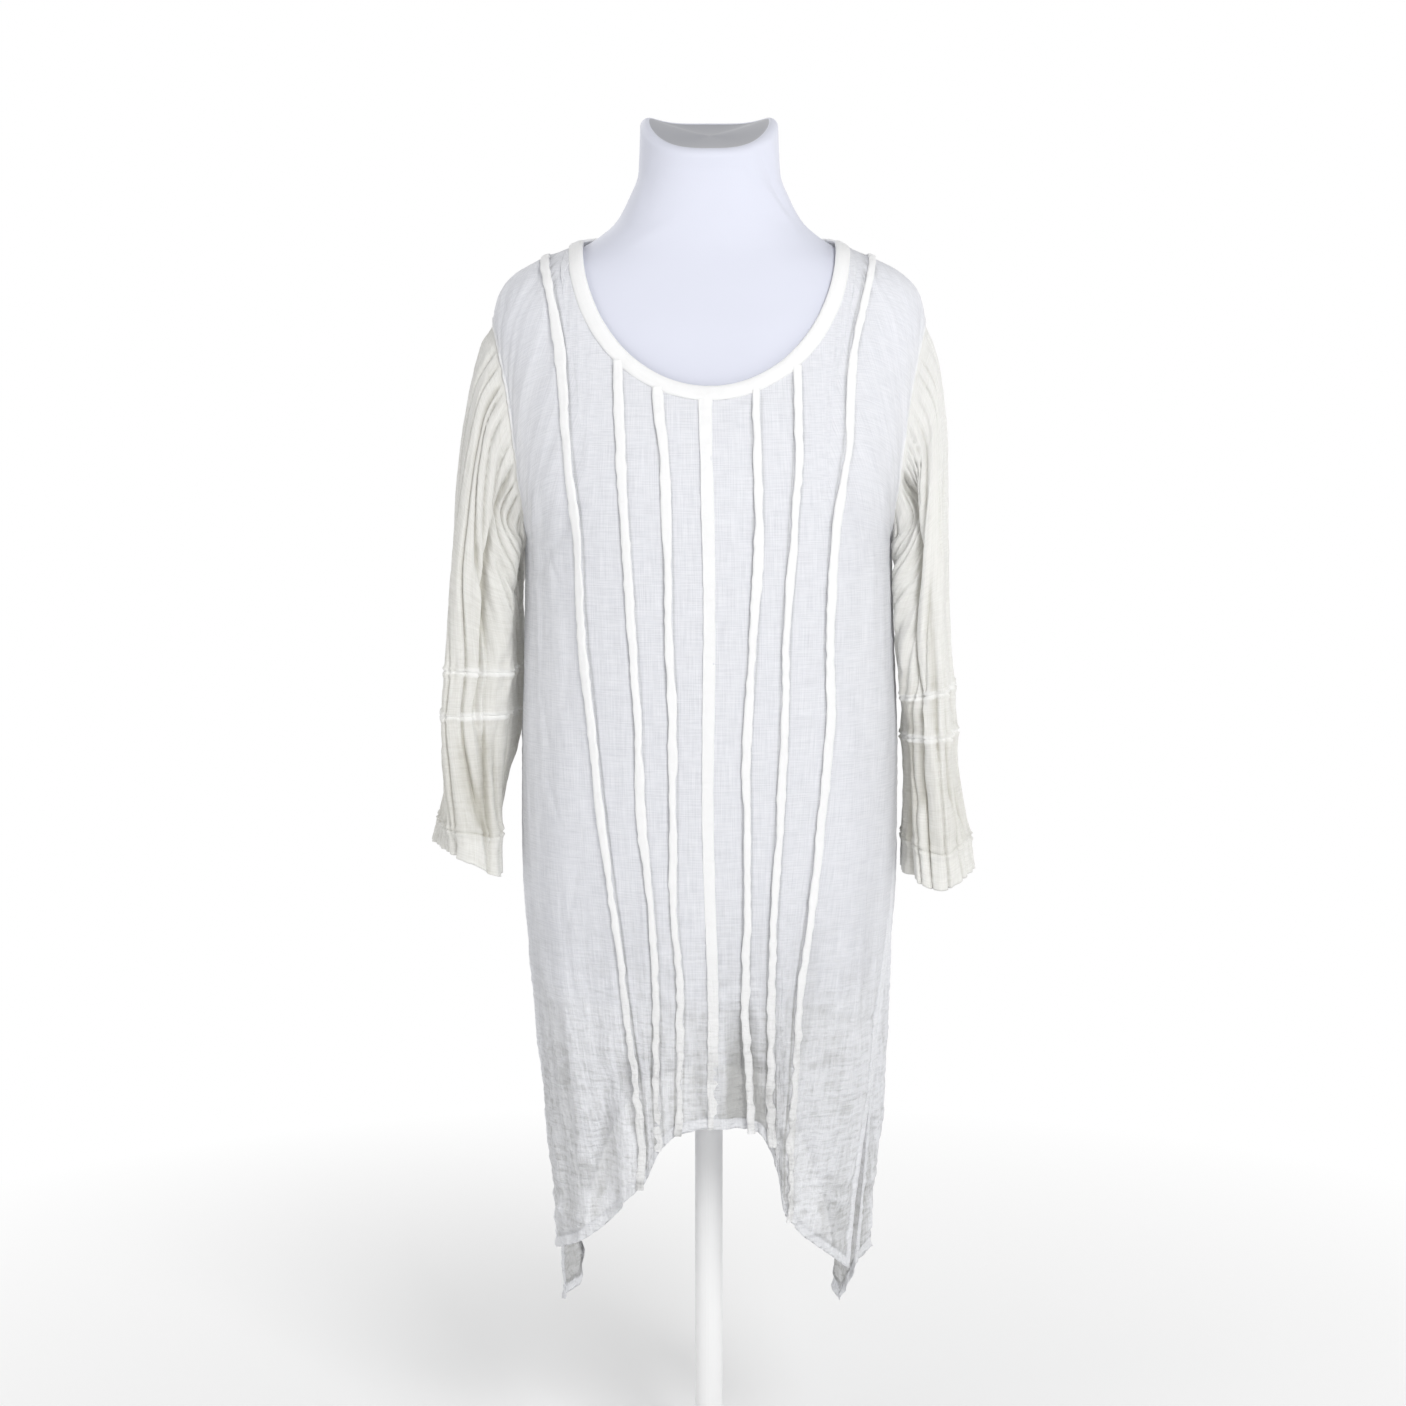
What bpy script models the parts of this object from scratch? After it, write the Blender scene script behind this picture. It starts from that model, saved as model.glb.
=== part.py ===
# A crinkled gauze tunic top, worn by a limbless dress form on a short stand.
#
# Metres, +Z up. The front faces -Y, and x < 0 is the wearer's right side.
# The origin is the centre of the base's underside.
#
# The cloth is laid out on a shell: a closed ring at each height, measured by an
# angle that is 0 at the centre front, 90 at the wearer's left side and 180 at the
# centre back. Each panel is a grid of points on that shell, cut by the neckline,
# the shoulder lines, the armholes, the side seams and the hem.
import math

import bmesh
import bpy
import numpy as np
from mathutils import Matrix

# Cloth
CLOTH_THICKNESS = 0.0014
HEM_THICKNESS = 0.0024
HEM_DEPTH = 0.010
SEAM_GAP = 0.0003
TUCK_RISE = 0.0017
TUCK_WIDTH_AT_NECK = 0.0088
TUCK_WIDTH_AT_HEM = 0.0066
CENTRE_SEAM_WIDTH = 0.0105
BINDING_THICKNESS = 0.0026

# Shell of the garment, outer face: one row for each height
SHELL_SECTIONS = (
    # height, half_width, front_depth, back_depth
    (0.140, 0.134, 0.110, 0.112),
    (0.230, 0.138, 0.113, 0.114),
    (0.330, 0.147, 0.117, 0.118),
    (0.450, 0.156, 0.121, 0.123),
    (0.570, 0.1645, 0.125, 0.126),
    (0.640, 0.1660, 0.127, 0.126),
    (0.700, 0.1655, 0.129, 0.123),
    (0.760, 0.1630, 0.130, 0.119),
    (0.820, 0.1610, 0.131, 0.115),
    (0.872, 0.1600, 0.131, 0.112),
    (0.925, 0.1740, 0.1285, 0.110),
    (0.967, 0.1820, 0.1210, 0.110),
    (1.018, 0.1870, 0.1060, 0.107),
    (1.058, 0.1880, 0.0935, 0.101),
    (1.079, 0.1840, 0.0865, 0.095),
    (1.092, 0.1770, 0.0820, 0.090),
    (1.104, 0.1635, 0.0775, 0.0845),
    (1.115, 0.1410, 0.0735, 0.0785),
    (1.124, 0.1190, 0.0705, 0.0725),
    (1.134, 0.1005, 0.0690, 0.0675),
    (1.145, 0.0890, 0.0680, 0.0620),
)
ROUNDNESS = 0.82  # power of the sine and cosine: 1 is an ellipse, less is squarer

# Dress form: one row for each height
FORM_SECTIONS = (
    # height, half_width, front_depth, back_depth
    (0.470, 0.136, 0.090, 0.096),
    (0.482, 0.143, 0.096, 0.103),
    (0.590, 0.151, 0.103, 0.111),
    (0.680, 0.142, 0.098, 0.100),
    (0.765, 0.124, 0.092, 0.080),
    (0.850, 0.138, 0.110, 0.085),
    (0.915, 0.149, 0.121, 0.095),
    (0.985, 0.160, 0.108, 0.101),
    (1.028, 0.1760, 0.0970, 0.0970),
    (1.0550, 0.1840, 0.0904, 0.0964),
    (1.0755, 0.1800, 0.0835, 0.0904),
    (1.0885, 0.1731, 0.0790, 0.0854),
    (1.1005, 0.1598, 0.0745, 0.0796),
    (1.1115, 0.1375, 0.0705, 0.0734),
    (1.1205, 0.1155, 0.0675, 0.0676),
    (1.1310, 0.0970, 0.0654, 0.0624),
    (1.1450, 0.0808, 0.0641, 0.0550),
    (1.166, 0.0690, 0.0640, 0.0480),
    (1.186, 0.0610, 0.0660, 0.0440),
    (1.218, 0.0590, 0.0690, 0.0410),
)
FORM_SIDES = 36
NECK_TOP_TILT = math.tan(math.radians(17.0))
NECK_TOP_BEVEL = 0.006
NECK_CORNER_RISE = 0.011

# Neckline: the panels end at its seam, and the binding runs from there to the opening
NECK_HEIGHT = 1.1242  # where the neckline seam crosses the shoulder line
SEAM_DROP = 0.1305
OPENING_HEIGHT = 1.1295
OPENING_DROP = 0.1250
BACK_NECK_RISE = 0.007

# Armhole: an oval on the shell round the side line
ARMHOLE_TOP = 1.058
ARMHOLE_BOTTOM = 0.872
ARMHOLE_HALF_ANGLE = 24.5

# Lines down the panels, as x at each height. Tucks are numbered from the centre out.
LINE_HEIGHTS = (0.36, 0.50, 0.65, 0.80, 0.90, 1.00, 1.11)
FRONT_LINES = {
    # line: x at each of the heights above
    "centre": (0.004, 0.003, 0.001, 0.000, -0.002, -0.004, -0.004),
    "right_1": (-0.0260, -0.0265, -0.031, -0.032, -0.036, -0.045, -0.049),
    "right_2": (-0.0420, -0.0500, -0.060, -0.066, -0.073, -0.079, -0.081),
    "right_3": (-0.0600, -0.0750, -0.095, -0.107, -0.115, -0.124, -0.140),
    "left_1": (0.0390, 0.0330, 0.0325, 0.0405, 0.044, 0.0415, 0.040),
    "left_2": (0.0560, 0.0565, 0.063, 0.068, 0.074, 0.0735, 0.073),
    "left_3": (0.0715, 0.0815, 0.0945, 0.1030, 0.1095, 0.1175, 0.139),
}
BACK_LINES = {
    "centre": (0.0, 0.0, 0.0, 0.0, 0.0, 0.0, 0.0),
    "right_1": (-0.0260, -0.0280, -0.031, -0.034, -0.037, -0.040, -0.042),
    "right_2": (-0.0500, -0.0560, -0.062, -0.067, -0.071, -0.075, -0.078),
    "right_3": (-0.0760, -0.0860, -0.098, -0.108, -0.116, -0.125, -0.138),
    "left_1": (0.0260, 0.0280, 0.031, 0.034, 0.037, 0.040, 0.042),
    "left_2": (0.0510, 0.0570, 0.062, 0.067, 0.071, 0.075, 0.078),
    "left_3": (0.0780, 0.0870, 0.098, 0.108, 0.116, 0.125, 0.138),
}

# Side seams, as the angle from the centre front at each height
SIDE_HEIGHTS = (0.18, 0.40, 0.50, 0.65, 0.872)
SIDE_ANGLES = {
    "right": (97.0, 97.0, 96.0, 93.0, 90.0),
    "left": (67.0, 67.0, 73.0, 82.0, 90.0),
}
SLIT_TOP = 0.400
SLIT_OPENING = {"right": (2.0, 2.0), "left": (3.5, 4.5)}  # degrees at the hem, front and back
SLIT_LENGTH = 0.170

# Hem heights against the angle from the centre front, and from the centre back
FRONT_HEM = {
    "right": (
        # angle, height
        (0.0, 0.3725), (6.6, 0.367), (12.4, 0.3535), (14.4, 0.342), (18.1, 0.320),
        (27.9, 0.2965), (46.3, 0.263), (70.6, 0.244), (97.0, 0.226),
    ),
    "left": (
        (0.0, 0.3725), (9.2, 0.3685), (15.0, 0.362), (18.3, 0.352), (19.2, 0.3275),
        (20.8, 0.298), (29.5, 0.273), (44.6, 0.250), (61.4, 0.231), (64.0, 0.229),
    ),
}
BACK_HEM = {
    "right": (
        (0.0, 0.365), (20.0, 0.356), (31.0, 0.322), (42.0, 0.262),
        (54.0, 0.205), (58.5, 0.170), (70.0, 0.168), (83.0, 0.171),
    ),
    "left": (
        (0.0, 0.365), (20.0, 0.356), (31.0, 0.316), (42.0, 0.255), (52.0, 0.195),
        (58.0, 0.162), (64.0, 0.160), (75.0, 0.182), (94.0, 0.234), (113.0, 0.229),
    ),
}
HEM_REFERENCE = 0.33  # a column's angle at this height picks its hem height

# Soft folds of the body: outward where depth is positive
BODY_FOLDS = (
    # angle, half_width, depth, top
    (-112.0, 11.0, 0.0060, 0.60),
    (-90.0, 13.0, -0.0050, 0.52),
    (-64.0, 9.0, 0.0045, 0.56),
    (-50.0, 8.0, 0.0045, 0.60),
    (-35.0, 7.5, -0.0075, 0.58),
    (-22.0, 6.5, 0.0045, 0.54),
    (11.0, 7.0, -0.0070, 0.56),
    (21.0, 5.0, 0.0050, 0.52),
    (31.0, 6.0, -0.0045, 0.62),
    (49.0, 9.0, 0.0040, 0.66),
    (88.0, 11.0, 0.0080, 0.56),
    (108.0, 12.0, -0.0070, 0.62),
    (130.0, 11.0, 0.0080, 0.66),
    (153.0, 11.0, -0.0080, 0.64),
    (176.0, 11.0, 0.0080, 0.66),
    (201.0, 12.0, -0.0085, 0.66),
    (225.0, 11.0, 0.0080, 0.64),
)

# Sleeves: the outermost and innermost point of each section, as distance from the
# centre and height, with half the front-to-back depth and how far the front edge
# leans outwards. The first section is the armhole itself.
SLEEVE_SECTIONS = {
    "right": (
        # outer, outer_height, inner, inner_height, depth, lean
        (0.1985, 1.026, 0.1640, 0.866, 0.057, 0.000),
        (0.2080, 0.980, 0.1665, 0.856, 0.061, 0.002),
        (0.2145, 0.925, 0.1680, 0.840, 0.064, 0.004),
        (0.2190, 0.868, 0.1690, 0.818, 0.065, 0.006),
        (0.2220, 0.812, 0.1700, 0.790, 0.063, 0.008),
        (0.2245, 0.760, 0.1710, 0.758, 0.060, 0.010),
        (0.2290, 0.720, 0.1735, 0.720, 0.057, 0.012),
        (0.2330, 0.686, 0.1770, 0.686, 0.055, 0.006),
        (0.2360, 0.652, 0.1845, 0.653, 0.053, -0.002),
        (0.2390, 0.621, 0.1890, 0.616, 0.051, -0.010),
        (0.2425, 0.600, 0.1915, 0.580, 0.050, -0.015),
    ),
    "left": (
        (0.1965, 1.026, 0.1640, 0.866, 0.057, 0.000),
        (0.2030, 0.980, 0.1665, 0.856, 0.061, -0.001),
        (0.2055, 0.925, 0.1680, 0.838, 0.064, -0.002),
        (0.2070, 0.862, 0.1690, 0.812, 0.065, -0.003),
        (0.2085, 0.800, 0.1700, 0.776, 0.064, -0.004),
        (0.2125, 0.742, 0.1745, 0.736, 0.062, -0.004),
        (0.2160, 0.702, 0.1755, 0.700, 0.060, -0.004),
        (0.2185, 0.670, 0.1755, 0.668, 0.059, -0.004),
        (0.2235, 0.638, 0.1750, 0.638, 0.058, -0.004),
        (0.2300, 0.608, 0.1745, 0.610, 0.056, -0.005),
        (0.2335, 0.580, 0.1740, 0.580, 0.055, -0.005),
    ),
}
SLEEVE_FOLDS = (
    # turn (0 outer, 90 front, 180 inner), half_width, depth, top, bottom
    (110.0, 22.0, -0.0085, 0.950, 0.700),
    (66.0, 18.0, 0.0030, 0.930, 0.600),
    (148.0, 18.0, 0.0025, 0.900, 0.700),
    (30.0, 14.0, -0.0035, 0.960, 0.600),
    (232.0, 15.0, 0.0040, 0.900, 0.600),
    (262.0, 16.0, -0.0080, 0.940, 0.620),
    (300.0, 15.0, 0.0045, 0.930, 0.600),
)
CUFF_DIPS = {
    # turn, half_width, drop
    "right": ((125.0, 34.0, 0.006), (255.0, 40.0, 0.004)),
    "left": ((84.0, 34.0, 0.012), (270.0, 40.0, 0.004)),
}
SLEEVE_PIECES = (
    # name, first section, last section, thickness
    ("upper", 0, 6, CLOTH_THICKNESS),
    ("band", 6, 7, CLOTH_THICKNESS),
    ("lower", 7, 10, CLOTH_THICKNESS),
    ("cuff", 10, 11, HEM_THICKNESS),
)

# Grid of the panels
ROWS_ABOVE_UNDERARM = 10
ROWS_BELOW_UNDERARM = 12
COLUMN_SAMPLES = 90
# Where columns between the second tuck and the shoulder point meet the neckline: degrees
# round it from its middle, close together where it runs over the shoulder
NECK_TURNS = {
    "front": (52.0, 62.0, 71.0, 78.0, 83.5, 87.0, 89.1),
    "back": (50.0, 61.0, 73.0),
}
EDGE_STEPS = {"front": 6, "back": 5}  # columns from the third tuck to the panel's outer edge

# Stand
POLE_RADIUS = 0.0125
BASE_RADIUS = 0.140
BASE_EDGE = 0.006
BASE_RISE = 0.010
HUB_RADIUS = 0.021
HUB_HEIGHT = 0.040
SOCKET_RADIUS = POLE_RADIUS + 0.0004
SOCKET_FLOOR = 0.005
TOUCH_GAP = 0.0003
STAND_SIDES = 32

SIDES = {"right": -1.0, "left": 1.0}

GAUZE = ("white_gauze", (0.90, 0.90, 0.88, 1.0), 0.85, 0.0)
JERSEY = ("form_jersey", (0.80, 0.82, 0.90, 1.0), 0.80, 0.0)
STEEL = ("white_steel", (0.86, 0.86, 0.86, 1.0), 0.35, 0.2)


def smooth_curve(stations, values):
    """A curve through the values that doesn't overshoot them; stations rise."""
    x = np.asarray(stations, float)
    y = np.asarray(values, float)
    step = np.diff(x)
    slope = np.diff(y) / step
    tangent = np.zeros(len(x))
    tangent[0], tangent[-1] = slope[0], slope[-1]
    for i in range(1, len(x) - 1):
        if slope[i - 1] * slope[i] > 0:
            tangent[i] = 2 * slope[i - 1] * slope[i] / (slope[i - 1] + slope[i])

    def at(where):
        t = float(min(max(where, x[0]), x[-1]))
        i = int(min(max(np.searchsorted(x, t) - 1, 0), len(x) - 2))
        u = (t - x[i]) / step[i]
        start = (1 + 2 * u) * (1 - u) ** 2 * y[i] + u * (1 - u) ** 2 * step[i] * tangent[i]
        end = u * u * (3 - 2 * u) * y[i + 1] + u * u * (u - 1) * step[i] * tangent[i + 1]
        return start + end

    return at


def smooth_step(t):
    t = min(max(t, 0.0), 1.0)
    return t * t * (3 - 2 * t)


def mix(a, b, share):
    return a + (b - a) * share


def ring_functions(sections):
    """Half width, front depth and back depth of a body, each against the height."""
    columns = list(zip(*sections))
    return tuple(smooth_curve(columns[0], column) for column in columns[1:])


shell_half_width, shell_front, shell_back = ring_functions(SHELL_SECTIONS)
SEAM_HALF_WIDTH = shell_half_width(NECK_HEIGHT)
OPENING_HALF_WIDTH = shell_half_width(OPENING_HEIGHT)
form_half_width, form_front, form_back = ring_functions(FORM_SECTIONS)
line_at = {
    (panel, name): smooth_curve(LINE_HEIGHTS, xs)
    for panel, lines in (("front", FRONT_LINES), ("back", BACK_LINES)) for name, xs in lines.items()
}
side_angle = {name: smooth_curve(SIDE_HEIGHTS, angles) for name, angles in SIDE_ANGLES.items()}
front_hem = {name: smooth_curve(*zip(*rows)) for name, rows in FRONT_HEM.items()}
back_hem = {name: smooth_curve(*zip(*rows)) for name, rows in BACK_HEM.items()}


def rounded(value):
    return math.copysign(abs(value) ** ROUNDNESS, value)


def ring_point(half_width, front, back, angle, height):
    """The point of a ring at an angle from the centre front, in degrees."""
    sine = rounded(math.sin(math.radians(angle)))
    cosine = rounded(math.cos(math.radians(angle)))
    depth = front if cosine > 0 else back
    return np.array((half_width * sine, -depth * cosine, height))


def fold_depth(angle, height):
    """How far the body's folds move the cloth outwards."""
    total = 0.0
    for centre, half_width, depth, top in BODY_FOLDS:
        away = (angle - centre + 180.0) % 360.0 - 180.0
        growth = smooth_step((top - height) / (top - HEM_REFERENCE))
        total += depth * growth * math.exp(-((away / half_width) ** 2))
    return total


def shell_point(angle, height):
    """The outer face of the cloth at an angle in degrees and a height."""
    half_width, front, back = shell_half_width(height), shell_front(height), shell_back(height)
    point = ring_point(half_width, front, back, angle, height)
    depth = front if point[1] < 0 else back
    outward = np.array((point[0] / half_width**2, point[1] / depth**2, 0.0))
    return point + outward / np.linalg.norm(outward) * fold_depth(angle, height)


def shell_normal(angle, height):
    """The outward direction of the shell, from its slopes."""
    turn, rise = 0.8, 0.0015
    along = shell_point(angle + turn, height) - shell_point(angle - turn, height)
    up = shell_point(angle, height + rise) - shell_point(angle, height - rise)
    normal = np.cross(along, up)
    return normal / np.linalg.norm(normal)


def angle_of(x, height):
    """The angle of the front point with this x, signed like x."""
    share = min(abs(x) / shell_half_width(height), 1.0)
    return math.copysign(math.degrees(math.asin(share ** (1 / ROUNDNESS))), x)


def armhole_angle(height):
    """Half the armhole's opening angle at a height."""
    middle = (ARMHOLE_TOP + ARMHOLE_BOTTOM) / 2
    half = (ARMHOLE_TOP - ARMHOLE_BOTTOM) / 2
    return ARMHOLE_HALF_ANGLE * math.sqrt(max(0.0, 1 - ((height - middle) / half) ** 2))


def slit_angle(side, height, panel):
    """How far a panel's edge stands back from the side seam below the slit's top."""
    front, back = SLIT_OPENING[side]
    opening = front if panel == "front" else back
    return opening * smooth_step((SLIT_TOP - height) / SLIT_LENGTH)


def edge_angle(side, height, panel):
    """The angle of a panel's outer edge from the centre front, without its sign."""
    outwards = -1.0 if panel == "front" else 1.0
    if height >= ARMHOLE_BOTTOM:
        return 90.0 + outwards * armhole_angle(height)
    return side_angle[side](height) + outwards * slit_angle(side, height, panel)


def outer_column(side, share, inner_x, panel):
    """A column between an inner line and the panel's outer edge, as an angle at each height.

    Over the shoulder the columns share the width, and below the armhole the angle."""
    tip = shell_half_width(ARMHOLE_TOP)

    def at(height):
        edge = edge_angle(side, min(height, ARMHOLE_TOP), panel)
        edge_x = tip
        if height < ARMHOLE_TOP:
            edge_x = shell_half_width(height) * rounded(math.sin(math.radians(edge)))
        near = inner_x(height)
        by_x = angle_of(mix(near, edge_x, share), height)
        near_angle = angle_of(near, height)
        if panel == "back":
            by_x, near_angle = 180.0 - by_x, 180.0 - near_angle
        by_angle = mix(near_angle, edge, share)
        lower = smooth_step((ARMHOLE_TOP - height) / (ARMHOLE_TOP - ARMHOLE_BOTTOM))
        return SIDES[side] * mix(by_x, by_angle, lower)

    return at


def half_tuck_width(height):
    share = (height - HEM_REFERENCE) / (NECK_HEIGHT - HEM_REFERENCE)
    return mix(TUCK_WIDTH_AT_HEM, TUCK_WIDTH_AT_NECK, min(max(share, 0.0), 1.0)) / 2


def panel_columns(side, panel):
    """The columns of half a panel, from the centre out, as (kind, angle at each height)."""
    sign = SIDES[side]
    centre, first, second, third = (
        line_at[panel, name] for name in ("centre", side + "_1", side + "_2", side + "_3")
    )

    def along(x_at):
        def at(height):
            angle = angle_of(x_at(height), height)
            return angle if panel == "front" else sign * 180.0 - angle
        return at

    def beside(line, direction):
        return along(lambda height: line(height) + sign * direction * half_tuck_width(height))

    def second_edge(height):
        return second(height) + sign * half_tuck_width(height)

    def shoulder_x(height):
        """The column of the shoulder point, which leaves the neckline for the third tuck."""
        outer = third(height) - sign * half_tuck_width(height)
        high = smooth_step((height - 0.95) / (NECK_HEIGHT - 0.95))
        base = mix(second_edge(height), sign * SEAM_HALF_WIDTH, high)
        drop = max(NECK_HEIGHT - height, 0.0)
        return mix(base, outer, 0.8 * drop / (drop + 0.02))

    def between(turn):
        """A column that meets the neckline at this turn and keeps its share of the width."""
        x = sign * SEAM_HALF_WIDTH * math.sin(math.radians(turn))
        z = neckline_height(x, SEAM_HALF_WIDTH, SEAM_DROP, NECK_HEIGHT, panel == "front")
        share = (x - second_edge(z)) / (shoulder_x(z) - second_edge(z))
        return along(lambda height: mix(second_edge(height), shoulder_x(height), share))

    columns = [
        ("neck", along(centre)),
        ("neck", along(lambda height: centre(height) + sign * CENTRE_SEAM_WIDTH / 2)),
        ("neck", along(lambda height: mix(centre(height), first(height), 0.55))),
    ]
    for line in (first, second):
        columns += [("neck", beside(line, -1.0)), ("neck", beside(line, 1.0))]
    columns += [("neck", between(turn)) for turn in NECK_TURNS[panel]]
    columns.append(("shoulder_point", along(shoulder_x)))
    columns += [("shoulder", beside(third, -1.0)), ("shoulder", beside(third, 1.0))]

    def third_edge(height):
        return abs(third(height)) + half_tuck_width(height)

    steps = EDGE_STEPS[panel]
    for i in range(1, steps + 1):
        kind = "edge" if i == steps else "shoulder"
        columns.append((kind, outer_column(side, i / steps, third_edge, panel)))
    return columns


def neckline_height(x, half_width, drop, height, front):
    """The height of a neckline curve at x."""
    share = math.sqrt(max(0.0, 1 - (x / half_width) ** 2))
    return height - drop * share if front else height + BACK_NECK_RISE * share


def crossing(gap, low, high):
    """The height between low and high where gap changes sign."""
    sign_low = gap(low) > 0
    for _ in range(40):
        middle = (low + high) / 2
        if (gap(middle) > 0) == sign_low:
            low = middle
        else:
            high = middle
    return (low + high) / 2


def x_on_shell(angle, height):
    return shell_half_width(height) * rounded(math.sin(math.radians(angle)))


def top_height(kind, column, panel):
    """Where a column starts: on the neckline, on the shoulder line or at the armhole."""
    if kind == "edge":
        return ARMHOLE_TOP
    if kind == "shoulder_point":
        return NECK_HEIGHT
    if kind == "neck":
        def above(height):
            x = x_on_shell(column(height), height)
            return height - neckline_height(
                x, SEAM_HALF_WIDTH, SEAM_DROP, NECK_HEIGHT, panel == "front"
            )
        if panel == "front":
            return crossing(above, NECK_HEIGHT - SEAM_DROP - 0.01, NECK_HEIGHT)
        return crossing(above, NECK_HEIGHT - 0.001, NECK_HEIGHT + BACK_NECK_RISE + 0.001)
    # On the shoulder line a column reaches the side, at 90 degrees.
    return crossing(
        lambda height: abs(abs(column(height)) - 90.0) - 0.05, ARMHOLE_TOP + 0.002, NECK_HEIGHT
    )


def upper_heights(column, top):
    """Heights down to the underarm that divide a column's length on the shell evenly."""
    turns = np.linspace(0.0, math.pi, COLUMN_SAMPLES)
    heights = mix(top, ARMHOLE_BOTTOM, (1 - np.cos(turns)) / 2)
    points = np.array([shell_point(column(height), height) for height in heights])
    lengths = np.linalg.norm(np.diff(points, axis=0), axis=1)
    travelled = np.concatenate([[0.0], np.cumsum(lengths)])
    stops = np.linspace(0.0, travelled[-1], ROWS_ABOVE_UNDERARM + 1)[:-1]
    return list(np.interp(stops, travelled, heights))


def panel_grid(columns, side, panel):
    """Points and outward directions of a panel, as [column][row]."""
    hem = front_hem[side] if panel == "front" else back_hem[side]
    grid, normals = [], []
    for kind, column in columns:
        top = top_height(kind, column, panel)
        angle = abs(column(HEM_REFERENCE))
        hem_height = hem(angle if panel == "front" else 180.0 - angle)
        heights = upper_heights(column, top)
        heights += [
            mix(ARMHOLE_BOTTOM, hem_height + HEM_DEPTH, i / ROWS_BELOW_UNDERARM)
            for i in range(ROWS_BELOW_UNDERARM + 1)
        ]
        heights.append(hem_height)
        angles = [column(height) for height in heights]
        if kind in ("shoulder", "shoulder_point", "edge"):
            angles[0] = SIDES[side] * 90.0
        grid.append([shell_point(a, h) for a, h in zip(angles, heights)])
        normals.append([shell_normal(a, h) for a, h in zip(angles, heights)])
    return np.array(grid), np.array(normals)


def pulled_in(edge, beside, normals, around=False):
    """An edge moved half a seam gap inside its piece, square to the edge in the cloth."""
    along = np.roll(edge, -1, axis=0) - np.roll(edge, 1, axis=0)
    if not around:
        along[0], along[-1] = edge[1] - edge[0], edge[-1] - edge[-2]
    inwards = np.cross(along, normals)
    inwards *= np.sign(np.sum(inwards * (beside - edge), axis=1, keepdims=True))
    return edge + inwards / np.linalg.norm(inwards, axis=1, keepdims=True) * SEAM_GAP / 2


def make_material(name, colour, roughness, metallic):
    material = bpy.data.materials.get(name) or bpy.data.materials.new(name)
    material.use_nodes = True
    shader = material.node_tree.nodes["Principled BSDF"]
    shader.inputs["Base Color"].default_value = colour
    shader.inputs["Roughness"].default_value = roughness
    shader.inputs["Metallic"].default_value = metallic
    material.diffuse_color = colour
    return material


def add_object(name, mesh, finish, smooth=True):
    """Makes the mesh a named object with its material, faces pointing out."""
    data = bpy.data.meshes.new(name)
    bmesh.ops.recalc_face_normals(mesh, faces=mesh.faces)
    mesh.to_mesh(data)
    mesh.free()
    data.materials.append(make_material(*finish))
    if smooth:
        data.shade_smooth()
        data.set_sharp_from_angle(angle=math.radians(50))
    part = bpy.data.objects.new(name, data)
    bpy.context.scene.collection.objects.link(part)
    return part


def quad(mesh, a, b, c, d):
    """Two triangles, split the same way on every layer so that layers stay parallel."""
    mesh.faces.new((a, b, c))
    mesh.faces.new((a, c, d))


def add_wall(name, inner, outer, around=False, finish=GAUZE):
    """A closed wall between two grids of points, [column][row]; around joins the columns' ends."""
    mesh = bmesh.new()
    columns, rows = len(inner), len(inner[0])
    layers = [[[mesh.verts.new(p) for p in column] for column in grid] for grid in (outer, inner)]
    last = columns if around else columns - 1
    for i in range(last):
        j = (i + 1) % columns
        for grid in layers:
            for k in range(rows - 1):
                quad(mesh, grid[i][k], grid[j][k], grid[j][k + 1], grid[i][k + 1])
        for k in (0, rows - 1):
            quad(mesh, layers[0][i][k], layers[0][j][k], layers[1][j][k], layers[1][i][k])
    if not around:
        for i in (0, columns - 1):
            for k in range(rows - 1):
                quad(
                    mesh, layers[0][i][k], layers[0][i][k + 1],
                    layers[1][i][k + 1], layers[1][i][k],
                )
    return add_object(name, mesh, finish)


def hem_rise(rows):
    """The hem's extra thickness, on the last two rows of a panel."""
    rise = np.zeros((1, rows, 1))
    rise[0, -2:, 0] = HEM_THICKNESS - CLOTH_THICKNESS
    return rise


def add_panel(name, grid, normals):
    """A cloth panel: its neckline, shoulder and side edges stand half a gap inside the seam."""
    points = grid.copy()
    points[:, 0] = pulled_in(points[:, 0], points[:, 1], normals[:, 0])
    points[0] = pulled_in(points[0], points[1], normals[0])
    points[-1] = pulled_in(points[-1], points[-2], normals[-1])
    outer = points + normals * hem_rise(points.shape[1])
    return add_wall(name, points - normals * CLOTH_THICKNESS, outer)


def add_strip(name, grid, normals, width):
    """A narrow band on a panel's outer face, made from the panel's own points."""
    base = grid + normals * (hem_rise(grid.shape[1]) + SEAM_GAP)
    base[:, 0] = pulled_in(base[:, 0], base[:, 1], normals[:, 0])
    middle = len(grid) // 2
    across = grid[-1] - grid[0]
    across /= np.linalg.norm(across, axis=-1, keepdims=True)
    top = base + normals * TUCK_RISE
    shoulder = width * 0.12
    top[0] += across * shoulder
    top[-1] -= across * shoulder
    if len(grid) % 2:
        top[middle] += normals[middle] * TUCK_RISE * 0.15
    return add_wall(name, base, top)


def add_tucks(panel, side, grid, normals):
    for number, first in ((1, 3), (2, 5), (3, len(grid) - EDGE_STEPS[panel] - 2)):
        prefix = "tuck" if panel == "front" else "back_tuck"
        pair = (grid[first:first + 2], normals[first:first + 2])
        if panel == "back" and side == "right":
            pair = tuple(part[::-1] for part in pair)  # the order of the back's own columns
        add_strip(f"{prefix}_{side}_{number}", *pair, TUCK_WIDTH_AT_NECK)


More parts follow.
